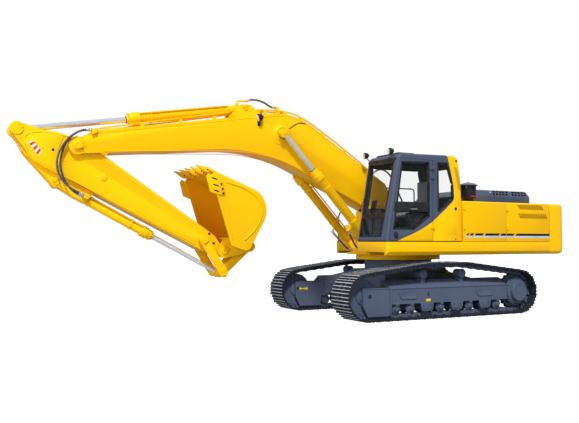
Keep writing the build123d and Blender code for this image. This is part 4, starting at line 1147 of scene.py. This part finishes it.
# ---- cab glass and seals ------------------------------------------------------------------
# Flat panes of toughened glass with a faint green tint. Each is held in a frame of extruded
# rubber that is pushed into its opening, covers the glass's edge and rounds its corners.
tinted_glass = mottled("tinted_glass", (0.10, 0.15, 0.15), 0.02, specular=0.3, marks=2, gloss=(0.01, 0.05))
tinted_glass.node_tree.nodes["Principled BSDF"].inputs["Alpha"].default_value = 0.03
paint_nodes(tinted_glass, "cab_glass", "door_glass")


def seal(name, outline, low, high, rounding=0.06, width=0.034):
    """A rubber frame that lies in a window opening and rounds its corners."""
    piece = sheet(name, outline, low)
    bpy.ops.mesh.inset(thickness=width)
    bpy.ops.mesh.bevel(offset=rounding, segments=5, affect="VERTICES")
    bpy.ops.mesh.delete(type="FACE")
    bpy.ops.mesh.select_all(action="SELECT")
    thicken(high - low)
    round_edges(piece, 0.003)
    return piece


finish(seal("door_seal", DOOR_WINDOW, 1.440, 1.479, 0.09), black_parts, "cab_door")
finish(seal("quarter_seal", QUARTER_WINDOW, 1.440, 1.479, 0.05), black_parts, "upper")
finish(seal("right_seal", RIGHT_WINDOW, 0.471, 0.510), black_parts, "upper")

upper_pane = [(0.538, 1.985), (1.309, 1.985), (1.376, 3.004), (0.538, 3.004)]
lower_pane = [(0.538, 1.564), (1.282, 1.564), (1.306, 1.945), (0.538, 1.945)]
rail = plate("front_rail", [(0.537, 1.940), (1.306, 1.940), (1.309, 1.990), (0.537, 1.990)], -0.050, 0.002, 0.006)
end_seals = [
    leant(seal("front_seal_high", upper_pane, -0.052, 0.004, 0.09, 0.030), True),
    leant(seal("front_seal_low", lower_pane, -0.052, 0.004, 0.07, 0.026), True),
    leant(rail, True),
    leant(seal("rear_seal", REAR_WINDOW, -0.010, 0.030, 0.08, 0.026), False),
]
finish(join("front_and_rear_seals", end_seals), black_parts, "upper")

# ---- cab fittings -------------------------------------------------------------------------
# Work lamps on stalks, a black roof hatch and sun strip, a wiper, the door's black waist band
# with a plated pull, and the louvres, catch and lock in the yellow rear post.
POST_CATCH = [(-0.330, 3.083), (-0.362, 3.081), (-0.362, 3.045), (-0.330, 3.043)]
WIPER_MOTOR = [(0.030, 0), (0.030, 0.024), (0.020, 0.030)]
POST_FACE = 1.474
dark = [
    plate("hatch", [(0.975, 3.135), (0.560, 3.140), (0.575, 3.180), (0.950, 3.177)], 0.620, 1.330, 0.010),
    leant(plate("sun_strip", oblong(0.500, 3.012, 1.420, 3.064), -0.010, 0.008, 0.006), True),
    leant(bar("wiper_arm", (0.560, 0.022, 2.320), (0.452, 0.026, 2.100), 0.007, 10), True),
    leant(bar("wiper_blade", (0.600, 0.014, 2.560), (0.556, 0.014, 2.180), 0.006, 8), True),
    leant(turned("wiper_motor", WIPER_MOTOR, (0.452, 0.0, 2.095), (0, 1, 0), 20), True),
    plate("post_catch", POST_CATCH, POST_FACE, 1.484, 0.002),
    turned("keyhole", [(0.012, 0), (0.012, 0.004), (0.006, 0.005)], (-0.316, LEFT_Y, 1.520), (0, 1, 0), 16),
    turned("post_boss", [(0.030, 0), (0.030, 0.006), (0.018, 0.010)], (-0.324, LEFT_Y, 2.116), (0, 1, 0), 24),
]
# the rear post's louvres are black plates: painted shade in their openings
for k in range(9):
    x, z = -0.285 - k * 0.012, 2.930 - k * 0.050
    slot = [(x, z), (x - 0.095, z - 0.050), (x - 0.101, z - 0.040), (x - 0.006, z + 0.010)]
    dark.append(plate("post_louvre", slot, POST_FACE, 1.4765))
band = [(1.170, 2.040), (1.138, 2.225), (0.320, 2.225), (0.320, 2.040)]
finish(plate("door_waist_band", band, 1.452, 1.4815, 0.004), black_parts, "cab_door")
# the cap over the door's lower front corner is an oval that leans back a little
corner_cap = [
    (1.122 + 0.052 * math.cos(a) + 0.012 * math.sin(a), 1.590 + 0.070 * math.sin(a))
    for a in (math.radians(15 * k) for k in range(24))
]
finish(plate("door_corner_cap", corner_cap, 1.472, 1.482, 0.003), black_parts, "cab_door")
LAMP_FACING = (1, -0.35, -0.16)
LAMP_BODY = [(0.022, -0.070), (0.046, -0.050), (0.062, -0.010), (0.064, 0.030), (0.058, 0.036)]
LAMP_LENS = [(0.056, 0.034), (0.056, 0.038), (0.034, 0.046), (0.010, 0.049)]
lenses = []
for y in (1.270, 0.430):
    dark.append(bar("lamp_stalk", (1.035, y + 0.06, 3.080), (1.085, y, 3.165), 0.010, 12))
    dark.append(turned("lamp_body", LAMP_BODY, (1.090, y, 3.195), LAMP_FACING, 28))
    lenses.append(turned("lamp_lens", LAMP_LENS, (1.090, y, 3.195), LAMP_FACING, 28))
finish(join("cab_fittings", dark), black_parts, "upper")
lamp_glass = mottled(
    "lamp_glass", (0.85, 0.82, 0.66), 0.12, marks=40, tones=((0.72, 0.70, 0.58), (0.93, 0.91, 0.80)),
)
finish(join("cab_lamp_lenses", lenses), lamp_glass, "upper")
PULL_Y, PULL_Z = 1.512, 2.088
pull = [bar("pull", (0.655, PULL_Y, PULL_Z), (0.785, PULL_Y, PULL_Z), 0.010, 14)]
pull += [bar("pull_end", (x, 1.480, PULL_Z), (x, PULL_Y, PULL_Z), 0.010, 14) for x in (0.655, 0.785)]
finish(join("door_pull", pull), plated_steel, "cab_door")
POST_RIB = [(-0.262, 3.000), (-0.275, 3.000), (-0.300, 2.500), (-0.288, 2.500)]
raised = [
    plate("blank_panel", oblong(-0.110, 1.905, -0.345, 1.610), POST_FACE, 1.4775, 0.0015),
    plate("post_rib", POST_RIB, POST_FACE, 1.479, 0.002),
]
finish(join("cab_post_pressings", raised), yellow_paint, "upper")
# the gap along the cab's foot is a flat strip of painted shade
sill_gap = plate("cab_sill_gap", oblong(1.270, 1.4705, -0.472, 1.4830), 1.470, 1.4768, 0.002)
finish(sill_gap, hollow_black, "upper")
PEDAL = [(1.050, 1.600), (0.900, 1.540), (0.900, 1.528), (1.058, 1.588)]
MONITOR = [(1.045, 2.120), (1.065, 2.125), (1.030, 2.290), (1.010, 2.285)]
levers = [
    bar("grab_bar", (1.000, 1.330, 2.960), (1.165, 1.215, 1.960), 0.012, 14),
    bar("travel_lever", (0.960, 0.840, 1.530), (0.860, 0.860, 2.300), 0.011, 12),
    bar("travel_lever", (0.960, 1.000, 1.530), (0.860, 0.990, 2.300), 0.011, 12),
    plate("pedal", PEDAL, 0.790, 0.880, 0.003), plate("pedal", PEDAL, 0.960, 1.050, 0.003),
    plate("monitor", MONITOR, 0.560, 0.720, 0.006),
    bar("monitor_post", (1.040, 0.640, 1.700), (1.040, 0.640, 2.130), 0.014, 12),
]
finish(join("cab_levers", levers), black_parts, "upper")
CONSOLE = [(0.255, 1.530), (0.255, 2.020), (0.520, 2.060), (0.755, 2.020), (0.755, 1.900), (0.640, 1.530)]
BOOT = [(0.040, 0), (0.034, 0.014), (0.036, 0.022), (0.026, 0.034), (0.027, 0.042), (0.016, 0.052)]
consoles = []
for y in (0.660, 1.330):
    consoles += [
        plate("console", CONSOLE, y - 0.058, y + 0.058, 0.018), turned("boot", BOOT, (0.660, y, 2.030), UP, 20),
        bar("stick", (0.660, y, 2.070), (0.672, y, 2.112), 0.010, 12, 0.003),
    ]
consoles = join("control_consoles", consoles)
finish(consoles, black_parts, "upper")
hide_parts("control_stands")

# ---- seat ---------------------------------------------------------------------------------
# A sprung seat in blue-grey cloth: a crowned cushion and a tall back, each stuffed with foam
# and sewn round its edge, on a black suspension box, with a red belt across the cushion.
seat_cloth = mottled(
    "seat_cloth", (0.15, 0.18, 0.24), 0.9, marks=240, detail=4,
    tones=((0.11, 0.135, 0.185), (0.20, 0.235, 0.30)), grain=(500, 0.5),
)
# how far the foam may push the cloth out, the skin's grid, and the steps it takes to settle
CUSHION_SWELL, SKIN_GRID, QUICK_GRID, SETTLING_STEPS = 0.024, 0.006, 0.011, 20


def stuffed(name, low, high, corner):
    """A cushion: a rounded block of cloth, blown up from inside until its faces crown."""
    bpy.ops.object.select_all(action="DESELECT")
    low, high = Vector(low), Vector(high)
    bpy.ops.mesh.primitive_cube_add(size=1, location=(low + high) / 2, scale=high - low)
    piece = bpy.context.object
    piece.name = name
    bpy.ops.object.transform_apply(location=True, rotation=True, scale=True)
    round_edges(piece, corner, 5)
    piece.modifiers.new("skin", "REMESH")
    piece.modifiers["skin"].mode = "VOXEL"
    piece.modifiers["skin"].voxel_size = SKIN_GRID
    bpy.ops.object.modifier_apply(modifier="skin")
    before = [vertex.co.copy() for vertex in piece.data.vertices]
    bpy.ops.object.modifier_add(type="CLOTH")
    cloth = piece.modifiers[-1]
    cloth.settings.use_pressure = True
    cloth.settings.uniform_pressure_force = 4
    cloth.settings.effector_weights.gravity = 0
    for step in range(1, SETTLING_STEPS + 1):
        bpy.context.scene.frame_set(step)
    swollen = piece.evaluated_get(bpy.context.evaluated_depsgraph_get()).to_mesh()
    after = [vertex.co.copy() for vertex in swollen.vertices]
    piece.modifiers.remove(cloth)
    bpy.context.scene.frame_set(1)
    for vertex, start, end in zip(piece.data.vertices, before, after):
        move = end - start
        if move.length > CUSHION_SWELL:
            move *= CUSHION_SWELL / move.length
        vertex.co = start + move
    bpy.ops.object.shade_smooth()
    return piece


cushion = stuffed("seat_cushion", (0.175, 0.805, 1.955), (0.675, 1.205, 2.020), 0.028)
back = stuffed("seat_back", (0.055, 0.825, 2.075), (0.128, 1.185, 2.675), 0.030)
for pad in (cushion, back):
    finish(pad, seat_cloth, "upper")
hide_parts("seat")
SUSPENSION = [(0.230, 1.525), (0.600, 1.525), (0.600, 1.640), (0.570, 1.930), (0.260, 1.930), (0.230, 1.640)]
BACK_BRACKET = [(0.040, 1.940), (0.170, 1.940), (0.100, 2.080), (0.040, 2.080)]
box = [
    plate("suspension", SUSPENSION, 0.832, 1.178, 0.010),
    plate("seat_pan", [(0.150, 1.932), (0.700, 1.932), (0.690, 1.950), (0.160, 1.950)], 0.790, 1.220, 0.006),
    plate("back_shell", oblong(0.034, 2.060, 0.054, 2.690), 0.815, 1.195, 0.006),
    plate("back_bracket", BACK_BRACKET, 0.900, 0.940, 0.004),
    plate("back_bracket", BACK_BRACKET, 1.070, 1.110, 0.004),
]
finish(join("seat_frame", box), black_parts, "upper")
belt_red = enamel("belt_red", (0.45, 0.02, 0.02), 0.7)
strap = [
    plate("belt", oblong(0.300, 2.043, 0.350, 2.047), 0.815, 1.195, 0.001),
    plate("belt_end", oblong(0.300, 1.960, 0.350, 2.047), 1.222, 1.226, 0.001),
]
finish(join("seat_belt", strap), belt_red, "upper")

# ---- boom, arm and linkage steelwork ------------------------------------------------------
# Box sections welded from plate. The corners are ground a little, weld beads run round the
# bosses and along the splices, and each pin ends in a cap with a keeper plate and two bolts.
for node, width in (("boom", 0.005), ("arm", 0.005), ("side_links", 0.006), ("bucket_link", 0.006)):
    softened(node, width, yellow_paint)


def pin_end(centre, y, sign, radius, turn):
    """The capped end of a pin, with the keeper plate that stops it turning."""
    x, z = centre
    face = sign * y
    cap = [
        (radius, -0.002), (radius, 0.010), (radius - 0.006, 0.016), (radius * 0.45, 0.017), (radius * 0.40, 0.013),
        (0.006, 0.013),
    ]
    run = Vector((math.cos(turn), 0, math.sin(turn)))
    side = Vector((-run.z, 0, run.x))
    middle = Vector((x, 0, z)) + run * (radius * 0.75)
    corners = [middle + run * along + side * over for along, over in oblong(-0.018, -0.050, 0.040, 0.050)]
    pieces = [
        turned("pin_cap", cap, (x, face, z), (0, sign, 0), 36),
        on_side("keeper", [(corner.x, corner.z) for corner in corners], face, 0, 0.022, 0.003),
    ]
    for shift in (-0.032, 0.032):
        at = middle + run * 0.018 + side * shift
        head, tip = (at.x, face + sign * 0.018, at.z), (at.x, face + sign * 0.032, at.z)
        pieces.append(bar("keeper_bolt", head, tip, 0.011, 6, 0.002))
    return pieces


# x and z of the pins that several parts turn on
BOOM_EYE, BOOM_TIP, LINK_EYE = (2.900, 3.530), (6.708, 3.068), (4.092, 0.895)
ARM_CYLINDER_FOOT, ARM_TAIL, BUCKET_CYLINDER_FOOT = (3.600, 3.985), (7.647, 3.298), (7.015, 2.444)
BOOM_SIDE, ARM_SIDE, DOUBLER_PLATE = 0.260, 0.185, 0.008
PINS = (
    ("boom", BOOM_EYE, 0.310, 0.070, 0.6), ("boom", BOOM_TIP, 0.290, 0.064, 3.0),
    ("boom", ARM_CYLINDER_FOOT, 0.140, 0.040, 1.2), ("arm", ARM_TAIL, ARM_SIDE, 0.060, 2.4),
    ("arm", BUCKET_CYLINDER_FOOT, 0.125, 0.045, 1.0), ("bucket", (4.060, 1.293), 0.245, 0.062, 1.9),
    ("bucket", (3.550, 1.380), 0.245, 0.055, 2.5), ("side_links", (4.480, 1.514), 0.300, 0.052, 4.0),
    ("side_links", LINK_EYE, 0.300, 0.052, 1.2),
)
# weld beads, in x and z: body, bead radius and points
BEADS = (
    ("boom", 0.0055, [(2.675, 3.357), (2.532, 3.345), (2.420, 3.370), (2.290, 3.450), (2.144, 3.585)]),
    ("boom", 0.0055, [(2.169, 3.562), (2.291, 3.126)]),
    ("boom", 0.0055, [
        (0.950, 2.935), (1.645, 3.365), (2.380, 3.790), (2.746, 3.890), (3.050, 3.870), (4.600, 3.600),
        (6.300, 3.310),
    ]),
    ("boom", 0.0055, [
        (1.150, 2.290), (2.300, 2.800), (2.900, 3.030), (3.400, 3.130), (4.000, 3.150), (6.300, 2.995),
    ]),
    ("boom", 0.0055, [(5.950, 3.375), (5.870, 3.035)]),
    ("arm", 0.005, [(6.900, 3.225), (6.300, 2.880), (4.700, 1.810)]),
    ("arm", 0.005, [(7.192, 2.751), (6.751, 2.823)]),
)
EYE_BOSS = [(0.215, -0.002), (0.210, 0.008), (0.170, 0.014), (0.132, 0.040), (0.126, 0.050)]
TAIL_BOSS = [(0.105, -0.002), (0.105, 0.012), (0.098, 0.018)]
LIFT_EYE = [(0.060, -0.002), (0.060, 0.010), (0.050, 0.014)]
DOUBLER = [
    (7.536, 3.114), (7.441, 3.225), (7.164, 3.262), (7.044, 3.250), (6.905, 3.205), (6.947, 3.120), (7.008, 2.977),
    (7.021, 2.810), (6.990, 2.640), (7.060, 2.668), (7.380, 2.800), (7.500, 2.995),
]
TAIL_RIM = [
    (6.830, 3.213), (7.068, 3.250), (7.254, 3.266), (7.436, 3.240), (7.502, 3.205), (7.534, 3.150), (7.526, 3.000),
    (7.466, 2.870), (7.414, 2.826), (7.214, 2.690), (6.996, 2.590), (6.730, 2.470), (5.912, 2.062), (5.444, 1.830),
    (4.620, 1.430),
]
steelwork = {"boom": [], "arm": [], "bucket": [], "side_links": []}
for sign in (1, -1):
    for body, centre, y, radius, turn in PINS:
        steelwork[body] += pin_end(centre, y, sign, radius, turn)
    boom_face, arm_face, out = sign * BOOM_SIDE, sign * ARM_SIDE, (0, sign, 0)
    for body, radius, line in BEADS:
        face = boom_face if body == "boom" else arm_face
        steelwork[body].append(pipe("bead", [(x, face, z) for x, z in line], radius))
    steelwork["boom"].append(turned("eye_boss", EYE_BOSS, (BOOM_EYE[0], boom_face, BOOM_EYE[1]), out, 48))
    tip_ring = [
        (BOOM_TIP[0] + 0.150 * math.cos(a), sign * 0.2605, BOOM_TIP[1] + 0.150 * math.sin(a))
        for a in (math.radians(20 * k + 60) for k in range(13))
    ]
    steelwork["boom"].append(pipe("bead", tip_ring, 0.005))
    steelwork["arm"] += [
        on_side("doubler", DOUBLER, arm_face, 0, DOUBLER_PLATE, 0.002),
        pipe("tail_rim", [(x, arm_face + sign * 0.002, z) for x, z in TAIL_RIM], 0.010, 8),
        turned("tail_boss", TAIL_BOSS, (ARM_TAIL[0], arm_face, ARM_TAIL[1]), out, 40),
        turned("lift_eye", LIFT_EYE, (6.250, arm_face, 2.560), out, 32),
    ]
for body, pieces in steelwork.items():
    finish(join("steelwork_" + body, pieces), yellow_paint, body)
# the holes in the arm are black discs: painted shade in the openings
holes = [
    turned("hole", [(0.024, 0), (0.024, 0.0012)], (x, ARM_SIDE + rise, z), (0, 1, 0), 24)
    for x, z, rise in ((7.085, 2.978, DOUBLER_PLATE), (4.340, 1.610, 0), (4.250, 1.440, 0))
]
finish(join("arm_holes", holes), black_parts, "arm")
stripe_white = mottled(
    "stripe_white", (0.80, 0.80, 0.78), 0.4, marks=10, tones=((0.72, 0.72, 0.70), (0.86, 0.86, 0.85)),
)
# the tape's two long edges, in x and z, and three red bars across it
TAPE_LOW = Vector((7.310, 2.868)), Vector((7.470, 3.075))
TAPE_HIGH = Vector((7.265, 2.950)), Vector((7.395, 3.115))
whites, reds = [], []
for sign in (1, -1):
    face = sign * (ARM_SIDE + DOUBLER_PLATE)
    whites.append(on_side("tape", [TAPE_LOW[1], TAPE_HIGH[1], TAPE_HIGH[0], TAPE_LOW[0]], face, 0, 0.0010))
    for start in (0.06, 0.40, 0.74):
        end = start + 0.18
        corners = [
            edge[0].lerp(edge[1], part)
            for edge, part in ((TAPE_LOW, start), (TAPE_LOW, end), (TAPE_HIGH, end), (TAPE_HIGH, start))
        ]
        reds.append(on_side("tape", corners, face, 0, 0.0018))
finish(join("arm_tape_white", whites), stripe_white, "arm")
finish(join("arm_tape_red", reds), red_mark, "arm")

# ---- boom pipes, lamp and cables ----------------------------------------------------------
# Two painted steel pipes run on brackets along the back of the boom, with a clamp over each
# pair, a round work lamp stands on the left side, and its cable is clipped to the plate.
TOP_PIPE = [
    (3.700, 3.880), (3.400, 3.985), (3.018, 4.007), (2.699, 4.003), (2.373, 3.923), (1.789, 3.599), (0.906, 3.031),
    (0.780, 2.930), (0.745, 2.860),
]
TIP_PIPE = [(3.950, 3.870), (4.600, 3.740), (5.900, 3.480), (6.330, 3.395)]
# x and z of each bracket on the boom's back, and how much its top follows the slope there
BRACKETS = (
    (1.000, 3.010, 0.55), (1.400, 3.275, 0.55), (1.900, 3.600, 0.55), (2.373, 3.870, 0.25), (2.750, 3.965, -0.10),
    (3.180, 3.950, -0.10),
)
lines = []
for sign in (1, -1):
    lines.append(pipe("top_pipe", [(x, sign * 0.100, z) for x, z in TOP_PIPE], 0.017, 10))
    tip = [(x, sign * 0.190, z) for x, z in TIP_PIPE] + [(6.420, sign * 0.230, 3.355)]
    lines.append(pipe("tip_pipe", tip, 0.015, 10))
    for x, z, slope in BRACKETS:
        post = [
            (x - 0.030, z - 0.10), (x + 0.030, z - 0.10 + 0.06 * slope), (x + 0.030, z + 0.045),
            (x - 0.030, z + 0.040),
        ]
        lines.append(plate("bracket", post, sign * 0.100 - 0.026, sign * 0.100 + 0.026, 0.004))
    for x in (4.250, 4.900, 5.600, 6.200):
        z = 3.990 - 0.1735 * (x - 2.652)
        clip = [(x - 0.030, z - 0.020), (x + 0.030, z - 0.030), (x + 0.030, z + 0.052), (x - 0.030, z + 0.060)]
        lines.append(on_side("clip", clip, sign * 0.160, 0, 0.062, 0.004))
for x, z, slope in BRACKETS:
    strap = [(x - 0.024, z + 0.035), (x + 0.024, z + 0.038), (x + 0.024, z + 0.050), (x - 0.024, z + 0.047)]
    lines.append(plate("strap", strap, -0.125, 0.125, 0.003))
finish(join("boom_pipes", lines), yellow_paint, "boom")
BOOM_LAMP, BOOM_LAMP_FACING = (3.392, 0.320, 3.800), (0.95, -0.20, -0.35)
LAMP_SHELL = [(0.024, -0.070), (0.052, -0.050), (0.072, -0.008), (0.074, 0.030), (0.066, 0.036)]
BOOM_LENS = [(0.064, 0.034), (0.064, 0.038), (0.040, 0.046), (0.010, 0.049)]
LAMP_CABLE = [
    (2.800, 0.268, 3.610), (2.734, 0.266, 3.647), (2.640, 0.266, 3.715), (2.556, 0.266, 3.768),
    (2.470, 0.266, 3.778), (2.387, 0.266, 3.771),
]
lamp = [
    turned("lamp_shell", LAMP_SHELL, BOOM_LAMP, BOOM_LAMP_FACING, 32),
    bar("lamp_stalk", (3.380, 0.300, 3.760), (3.380, 0.268, 3.690), 0.010, 12),
    plate("lamp_foot", oblong(3.350, 3.650, 3.410, 3.720), 0.258, 0.268, 0.002),
    pipe("lamp_cable", LAMP_CABLE, 0.007),
]
finish(join("boom_lamp", lamp), black_parts, "boom")
finish(turned("boom_lamp_lens", BOOM_LENS, BOOM_LAMP, BOOM_LAMP_FACING, 32), lamp_glass, "boom")

# ---- cylinders ----------------------------------------------------------------------------
# Painted tubes with a bolted gland and a wiper ring, and ground, hard-chromed rods with a
# forged eye. The oil reaches the far end through a thin pipe strapped along the tube.
chrome = mottled(
    "chrome", (0.88, 0.91, 0.97), 0.16, 0.75, marks=14, detail=2,
    tones=((0.82, 0.86, 0.93), (0.94, 0.96, 1.00)), gloss=(0.12, 0.24),
)
# foot pin, eye pin, rows, barrel length, tube and rod radius, the barrel's body, and which way the
# thin pipe lies from the tube's middle, along y and away from the boom or arm
CYLINDERS = (
    ("boom_cylinder", (0.930, 1.420), BOOM_EYE, (0.365, -0.365), 1.918, 0.085, 0.050,
     "boom_cylinder_barrels", None),
    ("arm_cylinder", ARM_CYLINDER_FOOT, ARM_TAIL, (0,), 2.220, 0.095, 0.050,
     "arm_cylinder_barrel", (0.75, 0.66)),
    ("bucket_cylinder", BUCKET_CYLINDER_FOOT, LINK_EYE, (0,), 1.842, 0.077, 0.043,
     "bucket_cylinder_barrel", (0.75, 0.66)),
)
# the painted forging reaches this far round a rod's eye
EYE_FORGING = 0.125


def port_pipe(name, y):
    """The points of the short pipe from a barrel's oil port to the hose that feeds it."""
    if name == "boom_cylinder":
        hose_y = math.copysign(0.300, y)
        return [
            (1.335, y * 0.95, 1.785), (1.375, y * 0.92, 1.748), (1.405, hose_y * 1.03, 1.720),
            (1.440, hose_y, 1.685),
        ]
    if name == "arm_cylinder":
        return [(3.730, 0, 4.000), (3.735, 0, 4.110), (3.690, 0, 4.143), (3.620, 0, 4.147), (3.540, 0, 4.150)]
    return None


for name, foot, eye, rows, barrel, tube_r, rod_r, barrel_body, pipe_side in CYLINDERS:
    run = Vector((eye[0] - foot[0], 0, eye[1] - foot[1])).normalized()
    above = Vector((-run.z, 0, run.x)) * math.copysign(1, run.x)
    softened(name + "_barrel", 0.004, yellow_paint)
    rods = softened(name + "_rod", 0.003, chrome)
    rods.data.materials.append(yellow_paint)
    for polygon in rods.data.polygons:
        if math.dist(eye, (polygon.center.x, polygon.center.z)) < EYE_FORGING:
            polygon.material_index = 1
    painted, rings = [], []
    for y in rows:
        start = Vector((foot[0], y, foot[1]))
        end_face = start + run * barrel
        gland_r, nose_r = tube_r + 0.012, rod_r + 0.026
        gland = [(gland_r, -0.190), (gland_r + 0.012, -0.186), (gland_r + 0.012, -0.070), (gland_r, -0.062)]
        wiper = [(rod_r + 0.012, 0.046), (rod_r + 0.010, 0.056), (rod_r + 0.0015, 0.058)]
        strap = [(tube_r, 0), (tube_r + 0.007, 0.002), (tube_r + 0.007, 0.038), (tube_r, 0.040)]
        painted += [
            bolt_ring("gland_bolts", end_face, run, gland_r - 0.008, 12, 0.0095, 0.014),
            turned("gland_head", gland, end_face, run, 40),
            turned("gland_nose", [(nose_r, -0.002), (nose_r, 0.040), (nose_r - 0.008, 0.048)], end_face, run, 36),
        ]
        rings.append(turned("wiper_ring", wiper, end_face, run, 32))
        if pipe_side:
            offset = (Vector((0, 1, 0)) * pipe_side[0] + above * pipe_side[1]) * (tube_r + 0.026)
        else:
            offset = Vector((0, -math.copysign(0.30, y), 0)) * (tube_r + 0.020) + above * (tube_r + 0.026)
        first, last = start + run * 0.33, start + run * (barrel - 0.12)
        side_pipe = [
            first, first + offset * 0.9, first + offset + run * 0.05, first + offset + run * 0.16,
            last + offset - run * 0.16, last + offset - run * 0.05, last + offset * 0.9, last,
        ]
        painted.append(pipe("side_pipe", side_pipe, 0.014, 10))
        for strap_at in (0.62, barrel - 0.42):
            clamp = start + run * (strap_at + 0.016)
            painted += [
                turned("tube_strap", strap, start + run * strap_at, run, 40),
                bar("pipe_clamp", clamp - run * 0.020 + offset, clamp + run * 0.024 + offset, 0.022, 16, 0.002),
                bar("clamp_foot", clamp + offset * 0.80, clamp + offset, 0.015, 8),
            ]
        port = port_pipe(name, y)
        if port:
            mouth, knee = Vector(port[0]), Vector(port[1])
            painted.append(pipe("port_pipe", port, 0.019, 10))
            painted.append(bar("port_block", mouth, mouth.lerp(knee, 0.85), 0.036, 6, 0.003))
    finish(join(name + "_fittings", painted), yellow_paint, barrel_body)
    finish(join(name + "_wipers", rings), black_parts, barrel_body)

# ---- bucket -------------------------------------------------------------------------------
# A rolled bucket of wear plate. A round bead stiffens its sides, slotted cutters are bolted to
# their front edges, and five forged adapters carry pointed teeth on tapered pins.
# a darker, browner enamel: painted shade inside the bowl
bucket_inside = enamel("bucket_inside", (0.86, 0.43, 0.002), 0.45)
bowl = softened("bucket", 0.005, yellow_paint)
bowl.data.materials.append(bucket_inside)
# painted shade on the inside: the faces of the side plates and of the rolled wall that look at its middle take the
# darker, browner enamel
WALL_MIDDLE = (4.05, 2.05)
for polygon in bowl.data.polygons:
    x, y, z = polygon.center
    facing = polygon.normal
    side_plate = 0.660 < abs(y) < 0.690 and facing.y * y < 0 and abs(facing.y) > 0.8
    between_sides = abs(y) < 0.676 and abs(facing.y) < 0.2
    inwards = facing.x * (WALL_MIDDLE[0] - x) + facing.z * (WALL_MIDDLE[1] - z) > 0.05
    in_the_bowl = x > 3.44 and (z > 1.50 or x > 3.90)
    if side_plate or (between_sides and inwards and in_the_bowl):
        polygon.material_index = 1
LIP, LIP_TURN = (4.540, 2.716), math.radians(21.26)


def from_lip(ahead, up):
    """A point given by its distance ahead of the lip and out from the floor plate."""
    run, rise = math.cos(LIP_TURN), math.sin(LIP_TURN)
    return LIP[0] + ahead * run - up * rise, LIP[1] + ahead * rise + up * run


TOOTH = [
    (-0.020, 0.046), (0.010, 0.058), (0.060, 0.048), (0.232, 0.008), (0.232, 0.002), (0.060, -0.036),
    (0.004, -0.041), (-0.020, -0.030),
]
ADAPTER = [
    (-0.150, 0.030), (-0.130, 0.050), (-0.040, 0.056), (-0.020, 0.040), (0.060, 0.016), (0.060, -0.006),
    (-0.020, -0.026), (-0.078, -0.028), (-0.088, 0.004), (0.000, 0.004), (0.000, 0.030),
]
TOOTH_PIN = [(0.014, 0), (0.014, 0.003), (0.008, 0.004)]
# a tooth grows narrower over this length, by this part of its width
TAPER_LENGTH, TAPER = 0.222, 0.42
teeth, tooth_pins = [], []
for y in (-0.610, -0.305, 0, 0.305, 0.610):
    tooth = plate("tooth", [from_lip(*point) for point in TOOTH], y - 0.046, y + 0.046, 0.003)
    for vertex in tooth.data.vertices:
        ahead = (vertex.co.x - LIP[0]) * math.cos(LIP_TURN) + (vertex.co.z - LIP[1]) * math.sin(LIP_TURN)
        vertex.co.y = y + (vertex.co.y - y) * (1 - TAPER * max(0, ahead - 0.01) / TAPER_LENGTH)
    teeth += [tooth, plate("adapter", [from_lip(*point) for point in ADAPTER], y - 0.036, y + 0.036, 0.004)]
    x, z = from_lip(0.020, 0.008)
    for sign in (1, -1):
        tooth_pins.append(turned("tooth_pin", TOOTH_PIN, (x, y + sign * 0.0445, z), (0, sign, 0), 16))
teeth = join("bucket_points", teeth)
finish(teeth, yellow_paint, "bucket")
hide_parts("bucket_teeth")
finish(join("tooth_pins", tooth_pins), track_steel, "bucket")
RIM = [
    (4.220, 2.520), (3.980, 2.470), (3.770, 2.380), (3.600, 2.250), (3.520, 2.080), (3.530, 1.900), (3.620, 1.740),
    (3.740, 1.600), (3.870, 1.500),
]
EDGE = [(4.370, 2.280), (4.280, 2.020), (4.170, 1.720), (4.100, 1.520)]
edges, slots = [], []
for sign in (1, -1):
    edges.append(pipe("rim", [(x, sign * 0.703, z) for x, z in RIM], 0.014, 10))
    edges.append(pipe("edge_bead", [(x, sign * 0.702, z) for x, z in EDGE], 0.012, 10))
    for x, z in ((4.325, 2.483), (4.301, 2.396), (4.285, 2.320)):
        slots.append(bar("cutter_bolt", (x, sign * 0.720, z), (x, sign * 0.738, z), 0.019, 6, 0.002))
    # each cutter slot is a flat plate of painted shade
    for x, z in ((4.452, 2.572), (4.425, 2.458), (4.415, 2.358)):
        slot = [
            (x + 0.058 * math.cos(a), z + 0.013 * math.sin(a) + 0.016 * math.cos(a))
            for a in (math.radians(30 * k) for k in range(12))
        ]
        slots.append(on_side("slot", slot, sign * 0.7215, 0, 0.0013))
finish(join("bucket_edges", edges), yellow_paint, "bucket")
finish(join("cutter_slots", slots), hollow_black, "bucket")

# ---- close --------------------------------------------------------------------------------
# The box of the whole machine as modelled is measured.
low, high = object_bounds()
